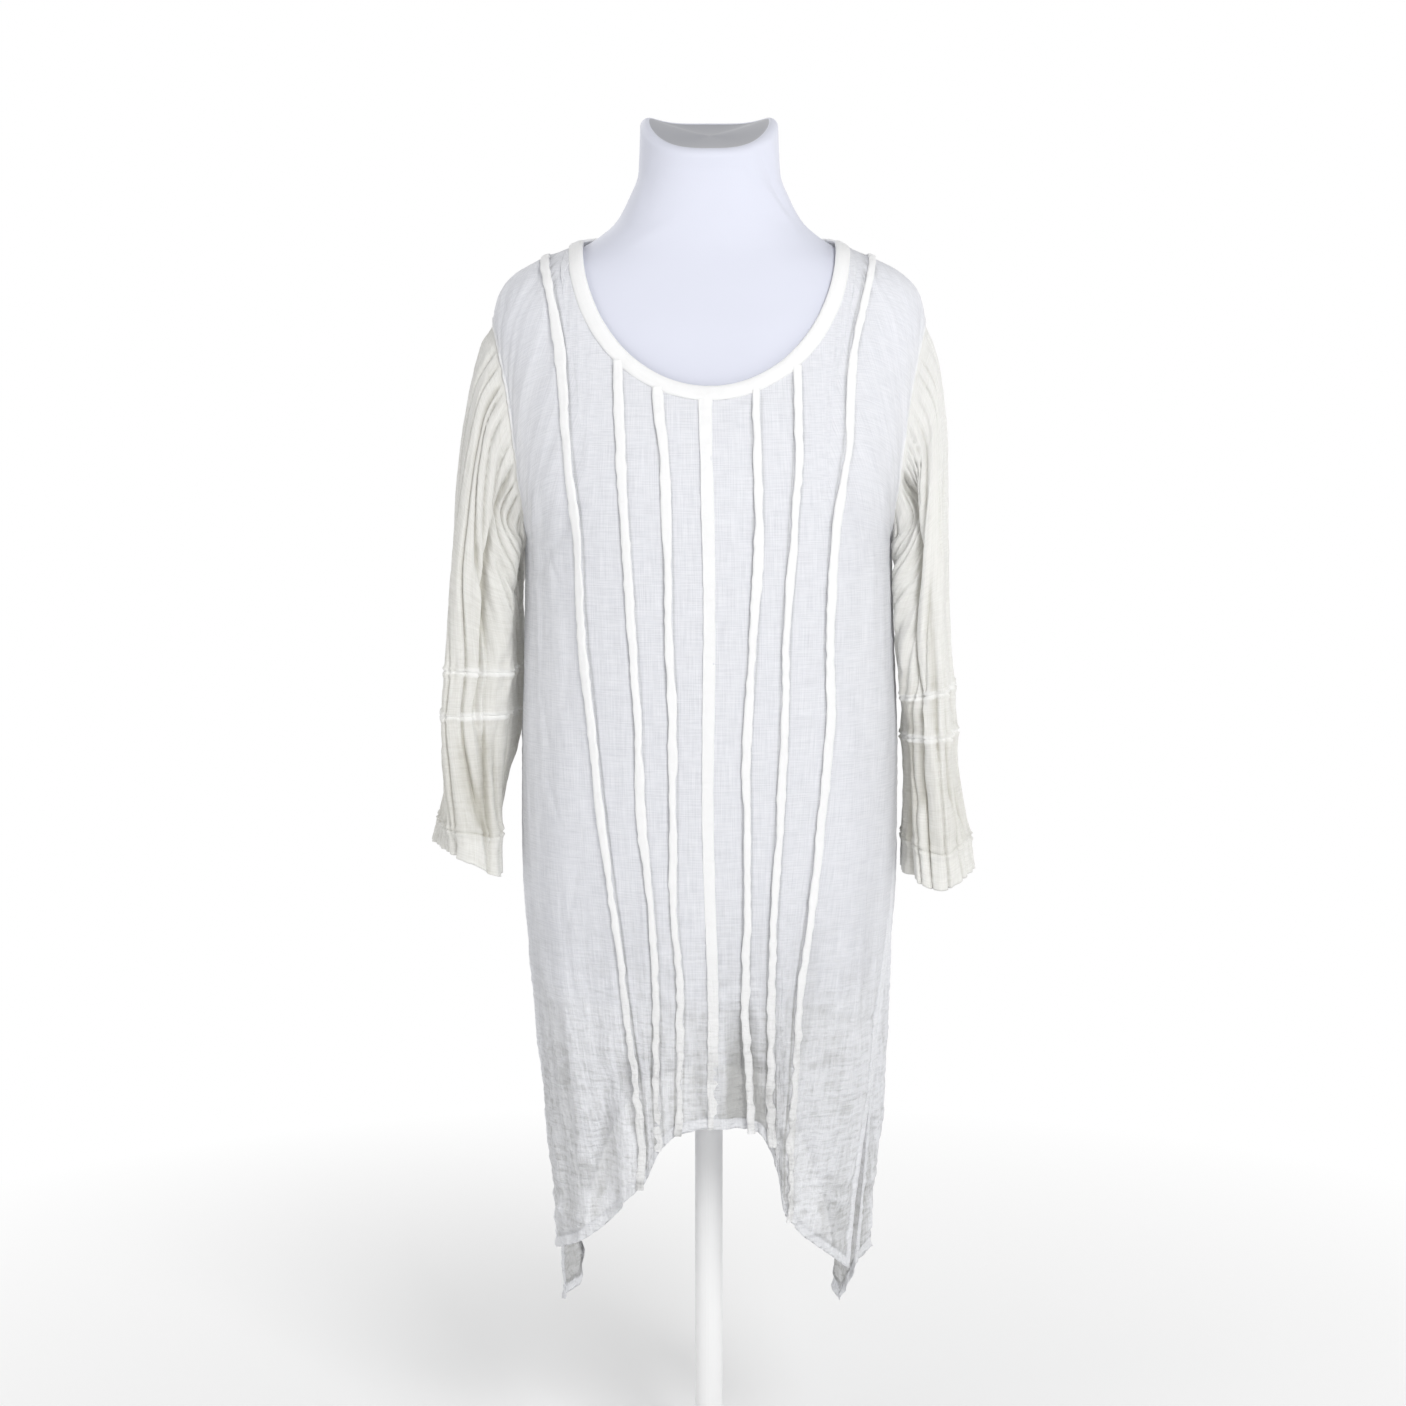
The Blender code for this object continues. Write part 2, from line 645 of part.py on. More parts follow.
def add_fronts():
    grids = {}
    for side in SIDES:
        grid, normals = panel_grid(panel_columns(side, "front"), side, "front")
        grids[side] = (grid, normals)
        add_panel("front_" + side, grid, normals)
        add_tucks("front", side, grid, normals)
    right, left = grids["right"], grids["left"]
    centre = [(right[k][0] + left[k][0]) / 2 for k in (0, 1)]
    add_strip(
        "centre_front_seam",
        np.array([right[0][1], centre[0], left[0][1]]),
        np.array([right[1][1], centre[1], left[1][1]]),
        CENTRE_SEAM_WIDTH,
    )
    return grids


def add_back():
    """The back is one piece, from the wearer's right edge round to the left."""
    halves = {side: panel_grid(panel_columns(side, "back"), side, "back") for side in SIDES}
    for side in SIDES:
        add_tucks("back", side, *halves[side])
    grid, normals = (
        np.concatenate([halves["right"][k][::-1], halves["left"][k][1:]]) for k in (0, 1)
    )
    add_panel("back", grid, normals)
    return halves


def seam_positions(grids, halves):
    """The (x, front) of every column that ends on the neckline, once round from the centre front."""
    ends = {}
    for panel, parts in (("front", grids), ("back", halves)):
        for side in SIDES:
            kinds = [kind for kind, _ in panel_columns(side, panel)]
            count = kinds.index("shoulder_point") + (panel == "front")
            ends[panel, side] = [(p[0][0], panel == "front") for p in parts[side][0][:count]]
    left = ends["front", "left"] + ends["back", "left"][::-1]
    return left + ends["back", "right"][1:] + ends["front", "right"][:0:-1]


def neck_curve_point(x, front, half_width, drop, height):
    """The angle and height of a neckline curve at a share of its half width."""
    z = neckline_height(x, half_width, drop, height, front)
    angle = angle_of(x, z)
    if not front:
        angle = math.copysign(180.0, x) - angle
    return angle, z


def add_binding(grids, halves):
    """The band round the neck, from the panels' edge to the opening, half a gap clear of them."""
    grid, facing = [], []
    for x, front in seam_positions(grids, halves):
        share = x / SEAM_HALF_WIDTH
        share = math.copysign(min(abs(share), 1.0), share)
        edge = neck_curve_point(
            share * SEAM_HALF_WIDTH, front, SEAM_HALF_WIDTH, SEAM_DROP, NECK_HEIGHT
        )
        opening = neck_curve_point(
            share * OPENING_HALF_WIDTH, front, OPENING_HALF_WIDTH, OPENING_DROP, OPENING_HEIGHT
        )
        angles = np.linspace(edge[0], opening[0], 3)
        heights = np.linspace(edge[1], opening[1], 3)
        points = np.array([shell_point(a, h) for a, h in zip(angles, heights)])
        normals = np.array([shell_normal(a, h) for a, h in zip(angles, heights)])
        grid.append(points)
        facing.append(normals)
    grid, facing = np.array(grid), np.array(facing)
    grid[:, 0] = pulled_in(grid[:, 0], grid[:, 1], facing[:, 0], around=True)
    swell = np.array((0.2, 1.0, 0.5)).reshape(1, 3, 1) * (BINDING_THICKNESS - CLOTH_THICKNESS)
    add_wall("neck_binding", grid - facing * CLOTH_THICKNESS, grid + facing * swell, around=True)


def sleeve_fold_depth(turn, height):
    total = 0.0
    for centre, half_width, depth, top, bottom in SLEEVE_FOLDS:
        away = (turn - centre + 180.0) % 360.0 - 180.0
        fade = 0.25 * (top - bottom)
        growth = smooth_step((top - height) / fade) * smooth_step((height - bottom) / fade + 0.35)
        total += depth * growth * math.exp(-((away / half_width) ** 2))
    return total


def cuff_dip(side, turn, height):
    """How far the cuff's edge hangs lower there; it grows over the sleeve's last 0.09 m."""
    total = 0.0
    for centre, half_width, drop in CUFF_DIPS[side]:
        away = (turn - centre + 180.0) % 360.0 - 180.0
        total += drop * math.exp(-((away / half_width) ** 2))
    return total * smooth_step((0.67 - height) / 0.09)


def sleeve_grid(side, front_edge, back_edge):
    """Points and outward directions of a sleeve, as [turn][section], from the armhole down."""
    sign = SIDES[side]
    count = 2 * ROWS_ABOVE_UNDERARM
    loop = [front_edge[i] for i in range(ROWS_ABOVE_UNDERARM + 1)]
    loop += [back_edge[i] for i in range(ROWS_ABOVE_UNDERARM - 1, 0, -1)]
    grid = [[point] for point in loop]
    for outer, outer_height, inner, inner_height, depth, lean in SLEEVE_SECTIONS[side]:
        for i in range(count):
            turn = 360.0 * i / count
            cosine = rounded(math.cos(math.radians(turn)))
            sine = rounded(math.sin(math.radians(turn)))
            x = mix(inner, outer, (1 + cosine) / 2) + lean * sine
            z = mix(inner_height, outer_height, (1 + cosine) / 2)
            z -= cuff_dip(side, turn, z)
            outward = np.array((
                cosine / (outer - inner) * 2, -sine / depth, 0.0
            ))
            outward /= np.linalg.norm(outward)
            point = np.array((x, -depth * sine, z)) + outward * sleeve_fold_depth(turn, z)
            grid[i].append(point * (sign, 1.0, 1.0))
    points = np.array(grid)
    normals = np.zeros_like(points)
    rows = points.shape[1]
    for i in range(count):
        for k in range(rows):
            around = points[(i + 1) % count][k] - points[i - 1][k]
            down = points[i][min(k + 1, rows - 1)] - points[i][max(k - 1, 0)]
            normal = np.cross(around, down) * sign
            normals[i][k] = normal / np.linalg.norm(normal)
    return points, normals


def add_sleeve(side, front_edge, back_edge):
    points, normals = sleeve_grid(side, front_edge, back_edge)
    for name, first, last, thickness in SLEEVE_PIECES:
        part = points[:, first:last + 1].copy()
        facing = normals[:, first:last + 1]
        part[:, 0] = pulled_in(part[:, 0], part[:, 1], facing[:, 0], around=True)
        if name != "cuff":
            part[:, -1] = pulled_in(part[:, -1], part[:, -2], facing[:, -1], around=True)
        extra = (thickness - CLOTH_THICKNESS) * facing
        add_wall(
            f"sleeve_{side}_{name}", part - facing * CLOTH_THICKNESS, part + extra, around=True
        )


def form_ring(height, swell=0.0, tilt=0.0):
    """One ring of the dress form; tilt drops its front, as at the top of the neck."""
    half_width, front, back = form_half_width(height), form_front(height), form_back(height)
    ring = []
    for i in range(FORM_SIDES):
        angle = 360.0 * i / FORM_SIDES
        point = ring_point(half_width + swell, front + swell, back + swell, angle, height)
        point[2] += tilt * (point[1] + (front - back) / 2)
        corner = abs(math.sin(math.radians(angle))) ** 3
        point[2] += tilt / NECK_TOP_TILT * NECK_CORNER_RISE * corner
        ring.append(point)
    return ring


def add_form():
    """The dress form: a limbless torso with a tilted flat top to its neck and a flat underside."""
    bottom, top = FORM_SECTIONS[0][0], FORM_SECTIONS[-1][0]
    heights = [bottom, 0.482, 0.52, 0.56, 0.61, 0.66, 0.71, 0.76, 0.80, 0.84, 0.88, 0.92]
    heights += [0.96, 1.00, 1.035, 1.0555, 1.070, 1.081, 1.091, 1.100, 1.108, 1.116, 1.125, 1.133]
    heights += [1.143, 1.154, 1.168, 1.186]
    rings = [form_ring(height) for height in heights]
    rings.append(form_ring(1.199, tilt=NECK_TOP_TILT / 2))
    rings.append(form_ring(top - NECK_TOP_BEVEL, tilt=NECK_TOP_TILT))
    rings.append(form_ring(top, swell=-NECK_TOP_BEVEL, tilt=NECK_TOP_TILT))
    mesh = bmesh.new()
    loops = [[mesh.verts.new(p) for p in ring] for ring in rings]
    for low, high in zip(loops, loops[1:]):
        for i in range(FORM_SIDES):
            j = (i + 1) % FORM_SIDES
            quad(mesh, low[i], low[j], high[j], high[i])
    mesh.faces.new(loops[0][::-1])
    mesh.faces.new(loops[-1])
    return add_object("form_torso", mesh, JERSEY)


def add_base():
    """A round base with a hub; the outline is spun about the stand's axis."""
    outline = (
        (0.0, 0.0),
        (BASE_RADIUS - 0.002, 0.0),
        (BASE_RADIUS, 0.002),
        (BASE_RADIUS, BASE_EDGE),
        (BASE_RADIUS - 0.004, BASE_EDGE + 0.002),
        (HUB_RADIUS + 0.006, BASE_RISE),
        (HUB_RADIUS, BASE_RISE + 0.006),
        (HUB_RADIUS, HUB_HEIGHT - 0.003),
        (HUB_RADIUS - 0.003, HUB_HEIGHT),
        (SOCKET_RADIUS, HUB_HEIGHT),
        (SOCKET_RADIUS, SOCKET_FLOOR),
        (0.0, SOCKET_FLOOR),
    )
    mesh = bmesh.new()
    verts = [mesh.verts.new((radius, 0.0, height)) for radius, height in outline]
    edges = [mesh.edges.new(pair) for pair in zip(verts, verts[1:])]
    bmesh.ops.spin(
        mesh, geom=verts + edges, cent=(0, 0, 0), axis=(0, 0, 1),
        angle=2 * math.pi, steps=STAND_SIDES, use_merge=True,
    )
    bmesh.ops.remove_doubles(mesh, verts=mesh.verts, dist=1e-5)
    return add_object("stand_base", mesh, STEEL)


def add_pole():
    """The pole, from the base's socket to the form's underside."""
    bottom = SOCKET_FLOOR + TOUCH_GAP
    top = FORM_SECTIONS[0][0] - TOUCH_GAP
    mesh = bmesh.new()
    bmesh.ops.create_cone(
        mesh, cap_ends=True, segments=STAND_SIDES, radius1=POLE_RADIUS, radius2=POLE_RADIUS,
        depth=top - bottom, matrix=Matrix.Translation((0, 0, (top + bottom) / 2)),
    )
    return add_object("stand_pole", mesh, STEEL)


def main():
    for old in list(bpy.data.objects):
        bpy.data.objects.remove(old)
    grids = add_fronts()
    halves = add_back()
    add_binding(grids, halves)
    for side in SIDES:
        add_sleeve(side, grids[side][0][-1], halves[side][0][-1])
    add_form()
    add_pole()
    add_base()


main()
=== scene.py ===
# The looks of the tunic top and its dress form, in metres, +Z up, front towards -Y.
#
# The cloth is a set of thin sheets on the same shell as the solids, with the crinkle, tucks,
# hems and creases as real surface. Each sheet is a grid of points, [column][row].
import math

import bmesh
import bpy
import numpy as np
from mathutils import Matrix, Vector


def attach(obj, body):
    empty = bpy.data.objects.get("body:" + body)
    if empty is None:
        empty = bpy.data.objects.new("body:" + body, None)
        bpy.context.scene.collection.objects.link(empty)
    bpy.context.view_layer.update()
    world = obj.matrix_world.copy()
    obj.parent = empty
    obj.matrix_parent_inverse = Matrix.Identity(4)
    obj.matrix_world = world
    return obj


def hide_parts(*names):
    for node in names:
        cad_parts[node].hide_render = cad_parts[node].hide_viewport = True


FINENESS = 1.0

# Shell of the garment, outer face
SHELL_SECTIONS = (
    # height, half_width, front_depth, back_depth
    (0.14, 0.134, 0.11, 0.112),
    (0.23, 0.138, 0.113, 0.114),
    (0.33, 0.147, 0.117, 0.118),
    (0.45, 0.156, 0.121, 0.123),
    (0.57, 0.1645, 0.125, 0.126),
    (0.64, 0.166, 0.127, 0.126),
    (0.7, 0.1655, 0.129, 0.123),
    (0.76, 0.163, 0.13, 0.119),
    (0.82, 0.161, 0.131, 0.115),
    (0.872, 0.16, 0.131, 0.112),
    (0.925, 0.174, 0.1285, 0.11),
    (0.967, 0.182, 0.121, 0.11),
    (1.018, 0.187, 0.106, 0.107),
    (1.058, 0.188, 0.0935, 0.101),
    (1.079, 0.184, 0.0865, 0.095),
    (1.092, 0.177, 0.082, 0.09),
    (1.104, 0.1635, 0.0775, 0.0845),
    (1.115, 0.141, 0.0735, 0.0785),
    (1.124, 0.119, 0.0705, 0.0725),
    (1.134, 0.1005, 0.069, 0.0675),
    (1.145, 0.089, 0.068, 0.062),
)
ROUNDNESS = 0.82

# Dress form
FORM_SECTIONS = (
    # height, half_width, front_depth, back_depth
    (0.47, 0.136, 0.09, 0.096),
    (0.482, 0.143, 0.096, 0.103),
    (0.59, 0.151, 0.103, 0.111),
    (0.68, 0.142, 0.098, 0.1),
    (0.765, 0.124, 0.092, 0.08),
    (0.85, 0.138, 0.11, 0.085),
    (0.915, 0.149, 0.121, 0.095),
    (0.985, 0.16, 0.108, 0.101),
    (1.028, 0.176, 0.097, 0.097),
    (1.055, 0.184, 0.0904, 0.0964),
    (1.0755, 0.18, 0.0835, 0.0904),
    (1.0885, 0.1731, 0.079, 0.0854),
    (1.1005, 0.1598, 0.0745, 0.0796),
    (1.1115, 0.1375, 0.0705, 0.0734),
    (1.1205, 0.1155, 0.0675, 0.0676),
    (1.131, 0.097, 0.0654, 0.0624),
    (1.145, 0.0808, 0.0641, 0.055),
    (1.166, 0.069, 0.064, 0.048),
    (1.186, 0.061, 0.066, 0.044),
    (1.218, 0.059, 0.069, 0.041),
)
NECK_TOP_TILT = math.tan(math.radians(17.0))
NECK_CORNER_RISE = 0.011
NECK_DISH = 0.005
NECK_BEVEL = 0.006
TILT_FROM = 1.186
CAP_SHARES = (0.975, 0.95, 0.9, 0.8, 0.65, 0.45, 0.25, 0.08, 0.01)

# Neckline and armhole
NECK_HEIGHT = 1.1242
SEAM_DROP = 0.1305
OPENING_HEIGHT = 1.1295
OPENING_DROP = 0.125
BACK_NECK_RISE = 0.007
# Key columns: degrees round the neckline beyond the second tuck, and how many out to the armhole
NECK_TURNS = {
    "front": (48.0, 55.0, 62.0, 68.0, 74.0, 79.0, 83.5, 87.0, 89.1),
    "back": (50.0, 61.0, 73.0),
}
SHOULDER_COLUMNS = 9
ARMHOLE_TOP = 1.058
ARMHOLE_BOTTOM = 0.872
ARMHOLE_HALF_ANGLE = 24.5

# Lines down the panels, as x at each height
LINE_HEIGHTS = (0.36, 0.5, 0.65, 0.8, 0.9, 1.0, 1.11)
PANEL_LINES = {
    "front": {
        "centre": (0.004, 0.003, 0.001, 0.0, -0.002, -0.004, -0.004),
        "right_1": (-0.026, -0.0265, -0.031, -0.032, -0.036, -0.045, -0.049),
        "right_2": (-0.042, -0.05, -0.06, -0.066, -0.073, -0.079, -0.081),
        "right_3": (-0.06, -0.075, -0.095, -0.107, -0.115, -0.124, -0.14),
        "left_1": (0.039, 0.033, 0.0325, 0.0405, 0.044, 0.0415, 0.04),
        "left_2": (0.056, 0.0565, 0.063, 0.068, 0.074, 0.0735, 0.073),
        "left_3": (0.0715, 0.0815, 0.0945, 0.103, 0.1095, 0.1175, 0.139),
    },
    "back": {
        "centre": (0.0, 0.0, 0.0, 0.0, 0.0, 0.0, 0.0),
        "right_1": (-0.026, -0.028, -0.031, -0.034, -0.037, -0.04, -0.042),
        "right_2": (-0.05, -0.056, -0.062, -0.067, -0.071, -0.075, -0.078),
        "right_3": (-0.076, -0.086, -0.098, -0.108, -0.116, -0.125, -0.138),
        "left_1": (0.026, 0.028, 0.031, 0.034, 0.037, 0.04, 0.042),
        "left_2": (0.051, 0.057, 0.062, 0.067, 0.071, 0.075, 0.078),
        "left_3": (0.078, 0.087, 0.098, 0.108, 0.116, 0.125, 0.138),
    },
}

# Side seams, slits and hems
SIDE_HEIGHTS = (0.18, 0.4, 0.5, 0.65, 0.872)
SIDE_ANGLES = {"right": (97.0, 97.0, 96.0, 93.0, 90.0), "left": (67.0, 67.0, 73.0, 82.0, 90.0)}
SLIT_TOP = 0.4
SLIT_OPENING = {"right": (2.0, 2.0), "left": (6.0, 1.5)}
SLIT_LENGTH = 0.11
HEM = {
    # angle from the middle of the panel, height
    ("front", "right"): (
        (0.0, 0.3725), (6.6, 0.367), (12.4, 0.3535), (14.4, 0.342), (18.1, 0.32),
        (27.9, 0.2965), (46.3, 0.263), (70.6, 0.244), (97.0, 0.226),
    ),
    ("front", "left"): (
        (0.0, 0.3725), (9.2, 0.3685), (15.0, 0.362), (18.3, 0.352), (19.2, 0.3275),
        (20.8, 0.298), (29.5, 0.273), (44.6, 0.25), (61.4, 0.231), (64.0, 0.229),
    ),
    ("back", "right"): (
        (0.0, 0.365), (20.0, 0.356), (31.0, 0.322), (42.0, 0.262),
        (54.0, 0.205), (58.5, 0.17), (70.0, 0.168), (83.0, 0.171),
    ),
    ("back", "left"): (
        (0.0, 0.365), (20.0, 0.356), (31.0, 0.316), (42.0, 0.255), (52.0, 0.195),
        (58.0, 0.162), (64.0, 0.16), (75.0, 0.182), (94.0, 0.234), (113.0, 0.229),
    ),
}
HEM_REFERENCE = 0.33
HEM_DEPTH = 0.01
CRUMPLE_TOP, CRUMPLE_SPAN = 0.62, 0.22
HEM_FOLD = (5, 0.0009)  # rows turned under, distance behind the cloth
EDGE_FOLD = (4, 0.0014)
CUFF_INSET = 0.0011
TUCK_WIDTH = (0.0088, 0.0066)  # at the neck, at the hem
# Where the raised lines wander from their smooth course, in millimetres of x
BEND_HEIGHTS = (0.32, 0.4, 0.48, 0.56, 0.64, 0.72, 0.8, 0.88, 0.96, 1.04, 1.11)
LINE_BENDS = {
    ("front", "centre"): (0.0, -0.7, 0.2, -1.3, -2.2, -1.4, 0.0, 0.7, 0.6, 0.4, 0.0),
    ("front", "right_1"): (0.0, 0.4, 2.0, -1.6, 0.2, 0.8, -1.8, 0.0, 2.3, 1.0, 0.0),
    ("front", "right_2"): (0.0, -1.0, 4.0, 5.4, 2.4, 3.1, 1.3, 1.7, 3.1, 2.4, 0.0),
    ("front", "right_3"): (2.0, 3.5, 1.3, 2.0, 2.9, 1.5, 0.2, 2.8, 0.4, 3.0, 0.0),
    ("front", "left_1"): (0.0, -1.5, -2.8, -0.6, -0.5, -3.4, -3.6, -2.9, -3.1, -1.0, 0.0),
    ("front", "left_2"): (-1.0, -2.5, -3.5, -3.2, -3.0, -2.3, -3.5, -3.4, 0.6, -0.6, 0.0),
    ("front", "left_3"): (-3.0, -3.0, -3.5, 0.3, 1.2, 3.4, -1.4, -2.7, 2.6, -1.6, 0.0),
    ("back", "right_1"): (0.0, 1.2, -1.8, 0.6, 2.0, -1.0, -1.6, 0.8, 1.8, -0.6, 0.0),
    ("back", "right_2"): (0.0, -2.0, 0.8, 2.2, -0.6, -2.2, 1.0, 2.0, -1.2, 0.6, 0.0),
    ("back", "right_3"): (1.0, -1.4, -2.0, 1.6, 2.4, 0.4, -1.8, 0.6, 1.8, -1.0, 0.0),
    ("back", "left_1"): (0.0, -1.6, 1.4, 1.0, -1.8, 0.4, 2.0, -0.6, -1.6, 0.8, 0.0),
    ("back", "left_2"): (0.0, 1.8, -0.6, -2.4, 0.6, 2.0, -1.2, -1.8, 1.4, 0.6, 0.0),
    ("back", "left_3"): (-1.0, 2.0, 1.2, -1.8, -1.0, 1.8, 2.2, -0.8, -1.8, 0.8, 0.0),
}
# Raised lines, first the tucks and then the flat centre seam
STRIP_SHARE = (0.84, 1.3)  # of the tuck's width
STRIP_RISE = (0.0022, 0.0011)
STRIP_STEP = 0.0021
STRIP_STOP = 0.0006  # above the hem's edge
STRIP_PROFILE = (
    # share of half the width, share of the rise
    ((-1.0, -0.3), (-1.04, 0.2), (-0.96, 0.66), (-0.76, 0.92), (-0.3, 1.0), (0.2, 0.98),
     (0.62, 0.96), (0.9, 0.84), (1.04, 0.45), (1.0, 0.05), (0.84, -0.3)),
    ((-1.0, -0.35), (-1.0, 0.25), (-0.92, 0.6), (-0.78, 0.42), (-0.55, 0.62), (0.0, 0.66),
     (0.55, 0.62), (0.78, 0.42), (0.92, 0.6), (1.0, 0.25), (1.0, -0.35)),
)
BINDING_PROFILE = (
    # share of the way from the seam to the opening, rise off the shell
    (-0.13, 0.0004), (-0.1, 0.0011), (0.0, 0.0018), (0.22, 0.0022), (0.45, 0.0023),
    (0.68, 0.0021), (0.88, 0.0015), (0.98, 0.0006), (1.0, -0.0004), (0.96, -0.0012),
    (0.8, -0.0015), (0.45, -0.0013), (0.1, -0.0013),
)

# Soft folds of the body: outward where depth is positive
BODY_FOLDS = (
    # angle, half_width, depth, top
    (-112.0, 11.0, 0.006, 0.6),
    (-90.0, 13.0, -0.005, 0.52),
    (-64.0, 9.0, 0.0045, 0.56),
    (-50.0, 8.0, 0.0045, 0.6),
    (-35.0, 7.5, -0.0075, 0.58),
    (-22.0, 6.5, 0.0045, 0.54),
    (11.0, 7.0, -0.007, 0.56),
    (21.0, 5.0, 0.005, 0.52),
    (31.0, 6.0, -0.0045, 0.62),
    (49.0, 9.0, 0.004, 0.66),
    (88.0, 11.0, 0.008, 0.56),
    (108.0, 12.0, -0.007, 0.62),
    (130.0, 11.0, 0.008, 0.66),
    (153.0, 11.0, -0.008, 0.64),
    (176.0, 11.0, 0.008, 0.66),
    (201.0, 12.0, -0.0085, 0.66),
    (225.0, 11.0, 0.008, 0.64),
)

# Sleeves: as in the solids
SLEEVE_SECTIONS = {
    # outer, outer_height, inner, inner_height, depth, lean
    "right": (
        (0.1985, 1.026, 0.164, 0.866, 0.057, 0.0),
        (0.208, 0.98, 0.1665, 0.856, 0.061, 0.002),
        (0.2145, 0.925, 0.168, 0.84, 0.064, 0.004),
        (0.219, 0.868, 0.169, 0.818, 0.065, 0.006),
        (0.222, 0.812, 0.17, 0.79, 0.063, 0.008),
        (0.2245, 0.76, 0.171, 0.758, 0.06, 0.01),
        (0.229, 0.72, 0.1735, 0.72, 0.057, 0.012),
        (0.233, 0.686, 0.177, 0.686, 0.055, 0.006),
        (0.236, 0.652, 0.1845, 0.653, 0.053, -0.002),
        (0.239, 0.621, 0.189, 0.616, 0.051, -0.01),
        (0.2425, 0.6, 0.1915, 0.58, 0.05, -0.015),
    ),
    "left": (
        (0.1965, 1.026, 0.164, 0.866, 0.057, 0.0),
        (0.203, 0.98, 0.1665, 0.856, 0.061, -0.001),
        (0.2055, 0.925, 0.168, 0.838, 0.064, -0.002),
        (0.207, 0.862, 0.169, 0.812, 0.065, -0.003),
        (0.2085, 0.8, 0.17, 0.776, 0.064, -0.004),
        (0.2125, 0.742, 0.1745, 0.736, 0.062, -0.004),
        (0.216, 0.702, 0.1755, 0.7, 0.06, -0.004),
        (0.2185, 0.67, 0.1755, 0.668, 0.059, -0.004),
        (0.2235, 0.638, 0.175, 0.638, 0.058, -0.004),
        (0.23, 0.608, 0.1745, 0.61, 0.056, -0.005),
        (0.2335, 0.58, 0.174, 0.58, 0.055, -0.005),
    ),
}
SLEEVE_FOLDS = (
    # turn (0 outer, 90 front, 180 inner), half_width, depth, top, bottom
    (110.0, 22.0, -0.0085, 0.95, 0.7),
    (66.0, 18.0, 0.003, 0.93, 0.6),
    (148.0, 18.0, 0.0025, 0.9, 0.7),
    (30.0, 14.0, -0.0035, 0.96, 0.6),
    (232.0, 15.0, 0.004, 0.9, 0.6),
    (262.0, 16.0, -0.008, 0.94, 0.62),
    (300.0, 15.0, 0.0045, 0.93, 0.6),
)
SLEEVE_SEAMS = ((6, 0.016), (7, 0.016), (10, 0.012), (11, 0.01))  # section, how far it gathers
SLEEVE_PIECES = (("upper", 0, 6), ("band", 6, 7), ("lower", 7, 10), ("cuff", 10, 11))

# Creases of the cloth: ridges where depth is positive
CREASES = {
    # x0, z0, x1, z1, width, depth
    "front": (
        (-0.132, 0.47, -0.12, 0.3, 0.012, -0.003), (-0.095, 0.44, -0.105, 0.27, 0.014, 0.003),
        (-0.07, 0.43, -0.1, 0.3, 0.012, -0.0035), (-0.12, 0.33, -0.085, 0.4, 0.007, 0.0018),
        (0.03, 0.47, 0.034, 0.36, 0.013, -0.006), (0.086, 0.43, 0.1, 0.33, 0.009, 0.0022),
        (0.092, 0.3, 0.116, 0.27, 0.004, -0.002), (0.1, 0.31, 0.124, 0.292, 0.004, 0.0016),
        (0.085, 0.47, 0.155, 0.455, 0.004, -0.0014), (0.128, 0.9, 0.139, 0.45, 0.01, -0.0022),
        (-0.138, 0.82, -0.143, 0.52, 0.01, -0.0016), (-0.157, 0.88, -0.12, 0.96, 0.008, 0.0022),
        (-0.15, 0.845, -0.112, 0.9, 0.006, -0.0018), (0.156, 0.88, 0.124, 0.965, 0.008, 0.0022),
        (0.152, 0.85, 0.118, 0.905, 0.006, -0.0018), (-0.125, 0.765, -0.1, 0.64, 0.006, -0.0012),
        (0.02, 0.7, 0.026, 0.6, 0.005, -0.001), (-0.138, 0.866, -0.127, 0.836, 0.0022, -0.0009),
        (-0.146, 0.75, -0.139, 0.698, 0.0024, -0.0011), (-0.139, 0.67, -0.126, 0.628, 0.0024, -0.0011),
        (-0.112, 0.6, -0.122, 0.54, 0.003, -0.001), (0.138, 0.78, 0.13, 0.7, 0.0026, -0.0009),
        (0.144, 0.64, 0.136, 0.57, 0.0026, -0.001), (-0.075, 0.4, -0.062, 0.33, 0.005, 0.0024),
        (-0.086, 0.42, -0.098, 0.29, 0.006, -0.0036), (-0.145, 0.42, -0.15, 0.25, 0.006, -0.002),
    ),
    "back": (
        (-0.12, 0.89, -0.07, 0.96, 0.01, 0.0026), (0.118, 0.89, 0.066, 0.95, 0.01, 0.0026),
        (-0.1, 0.56, -0.112, 0.33, 0.014, -0.0034), (0.104, 0.6, 0.096, 0.34, 0.014, -0.0034),
        (0.02, 0.8, 0.03, 0.56, 0.012, -0.0022), (-0.03, 0.74, -0.018, 0.52, 0.012, 0.0022),
        (-0.06, 0.47, -0.03, 0.38, 0.008, 0.0022),
    ),
}

# Where the cloth looks greyer
# Painted shade: patches where the cloth lies in shadow, in folds, at the slit, at the low back corners and
# at the sides, and where the shaded inside shows through
SHADE_PATCHES = {
    # x, z, half_width, half_height, depth
    "front": (
        (0.029, 0.39, 0.015, 0.05, 1.45), (0.0, 0.36, 0.05, 0.045, 0.16), (0.11, 0.44, 0.05, 0.1, 0.1),
        (-0.012, 0.41, 0.01, 0.045, 0.16), (-0.04, 0.43, 0.022, 0.08, 0.18),
        (0.06, 0.42, 0.012, 0.07, 0.14), (-0.15, 0.64, 0.016, 0.26, 0.04),
        (0.152, 0.64, 0.014, 0.26, 0.08),
    ),
    "back": (
        (-0.135, 0.19, 0.03, 0.05, 0.42), (0.125, 0.18, 0.025, 0.045, 0.5),
        (0.129, 0.3, 0.009, 0.075, 0.9), (0.03, 0.43, 0.05, 0.07, 0.2),
    ),
}

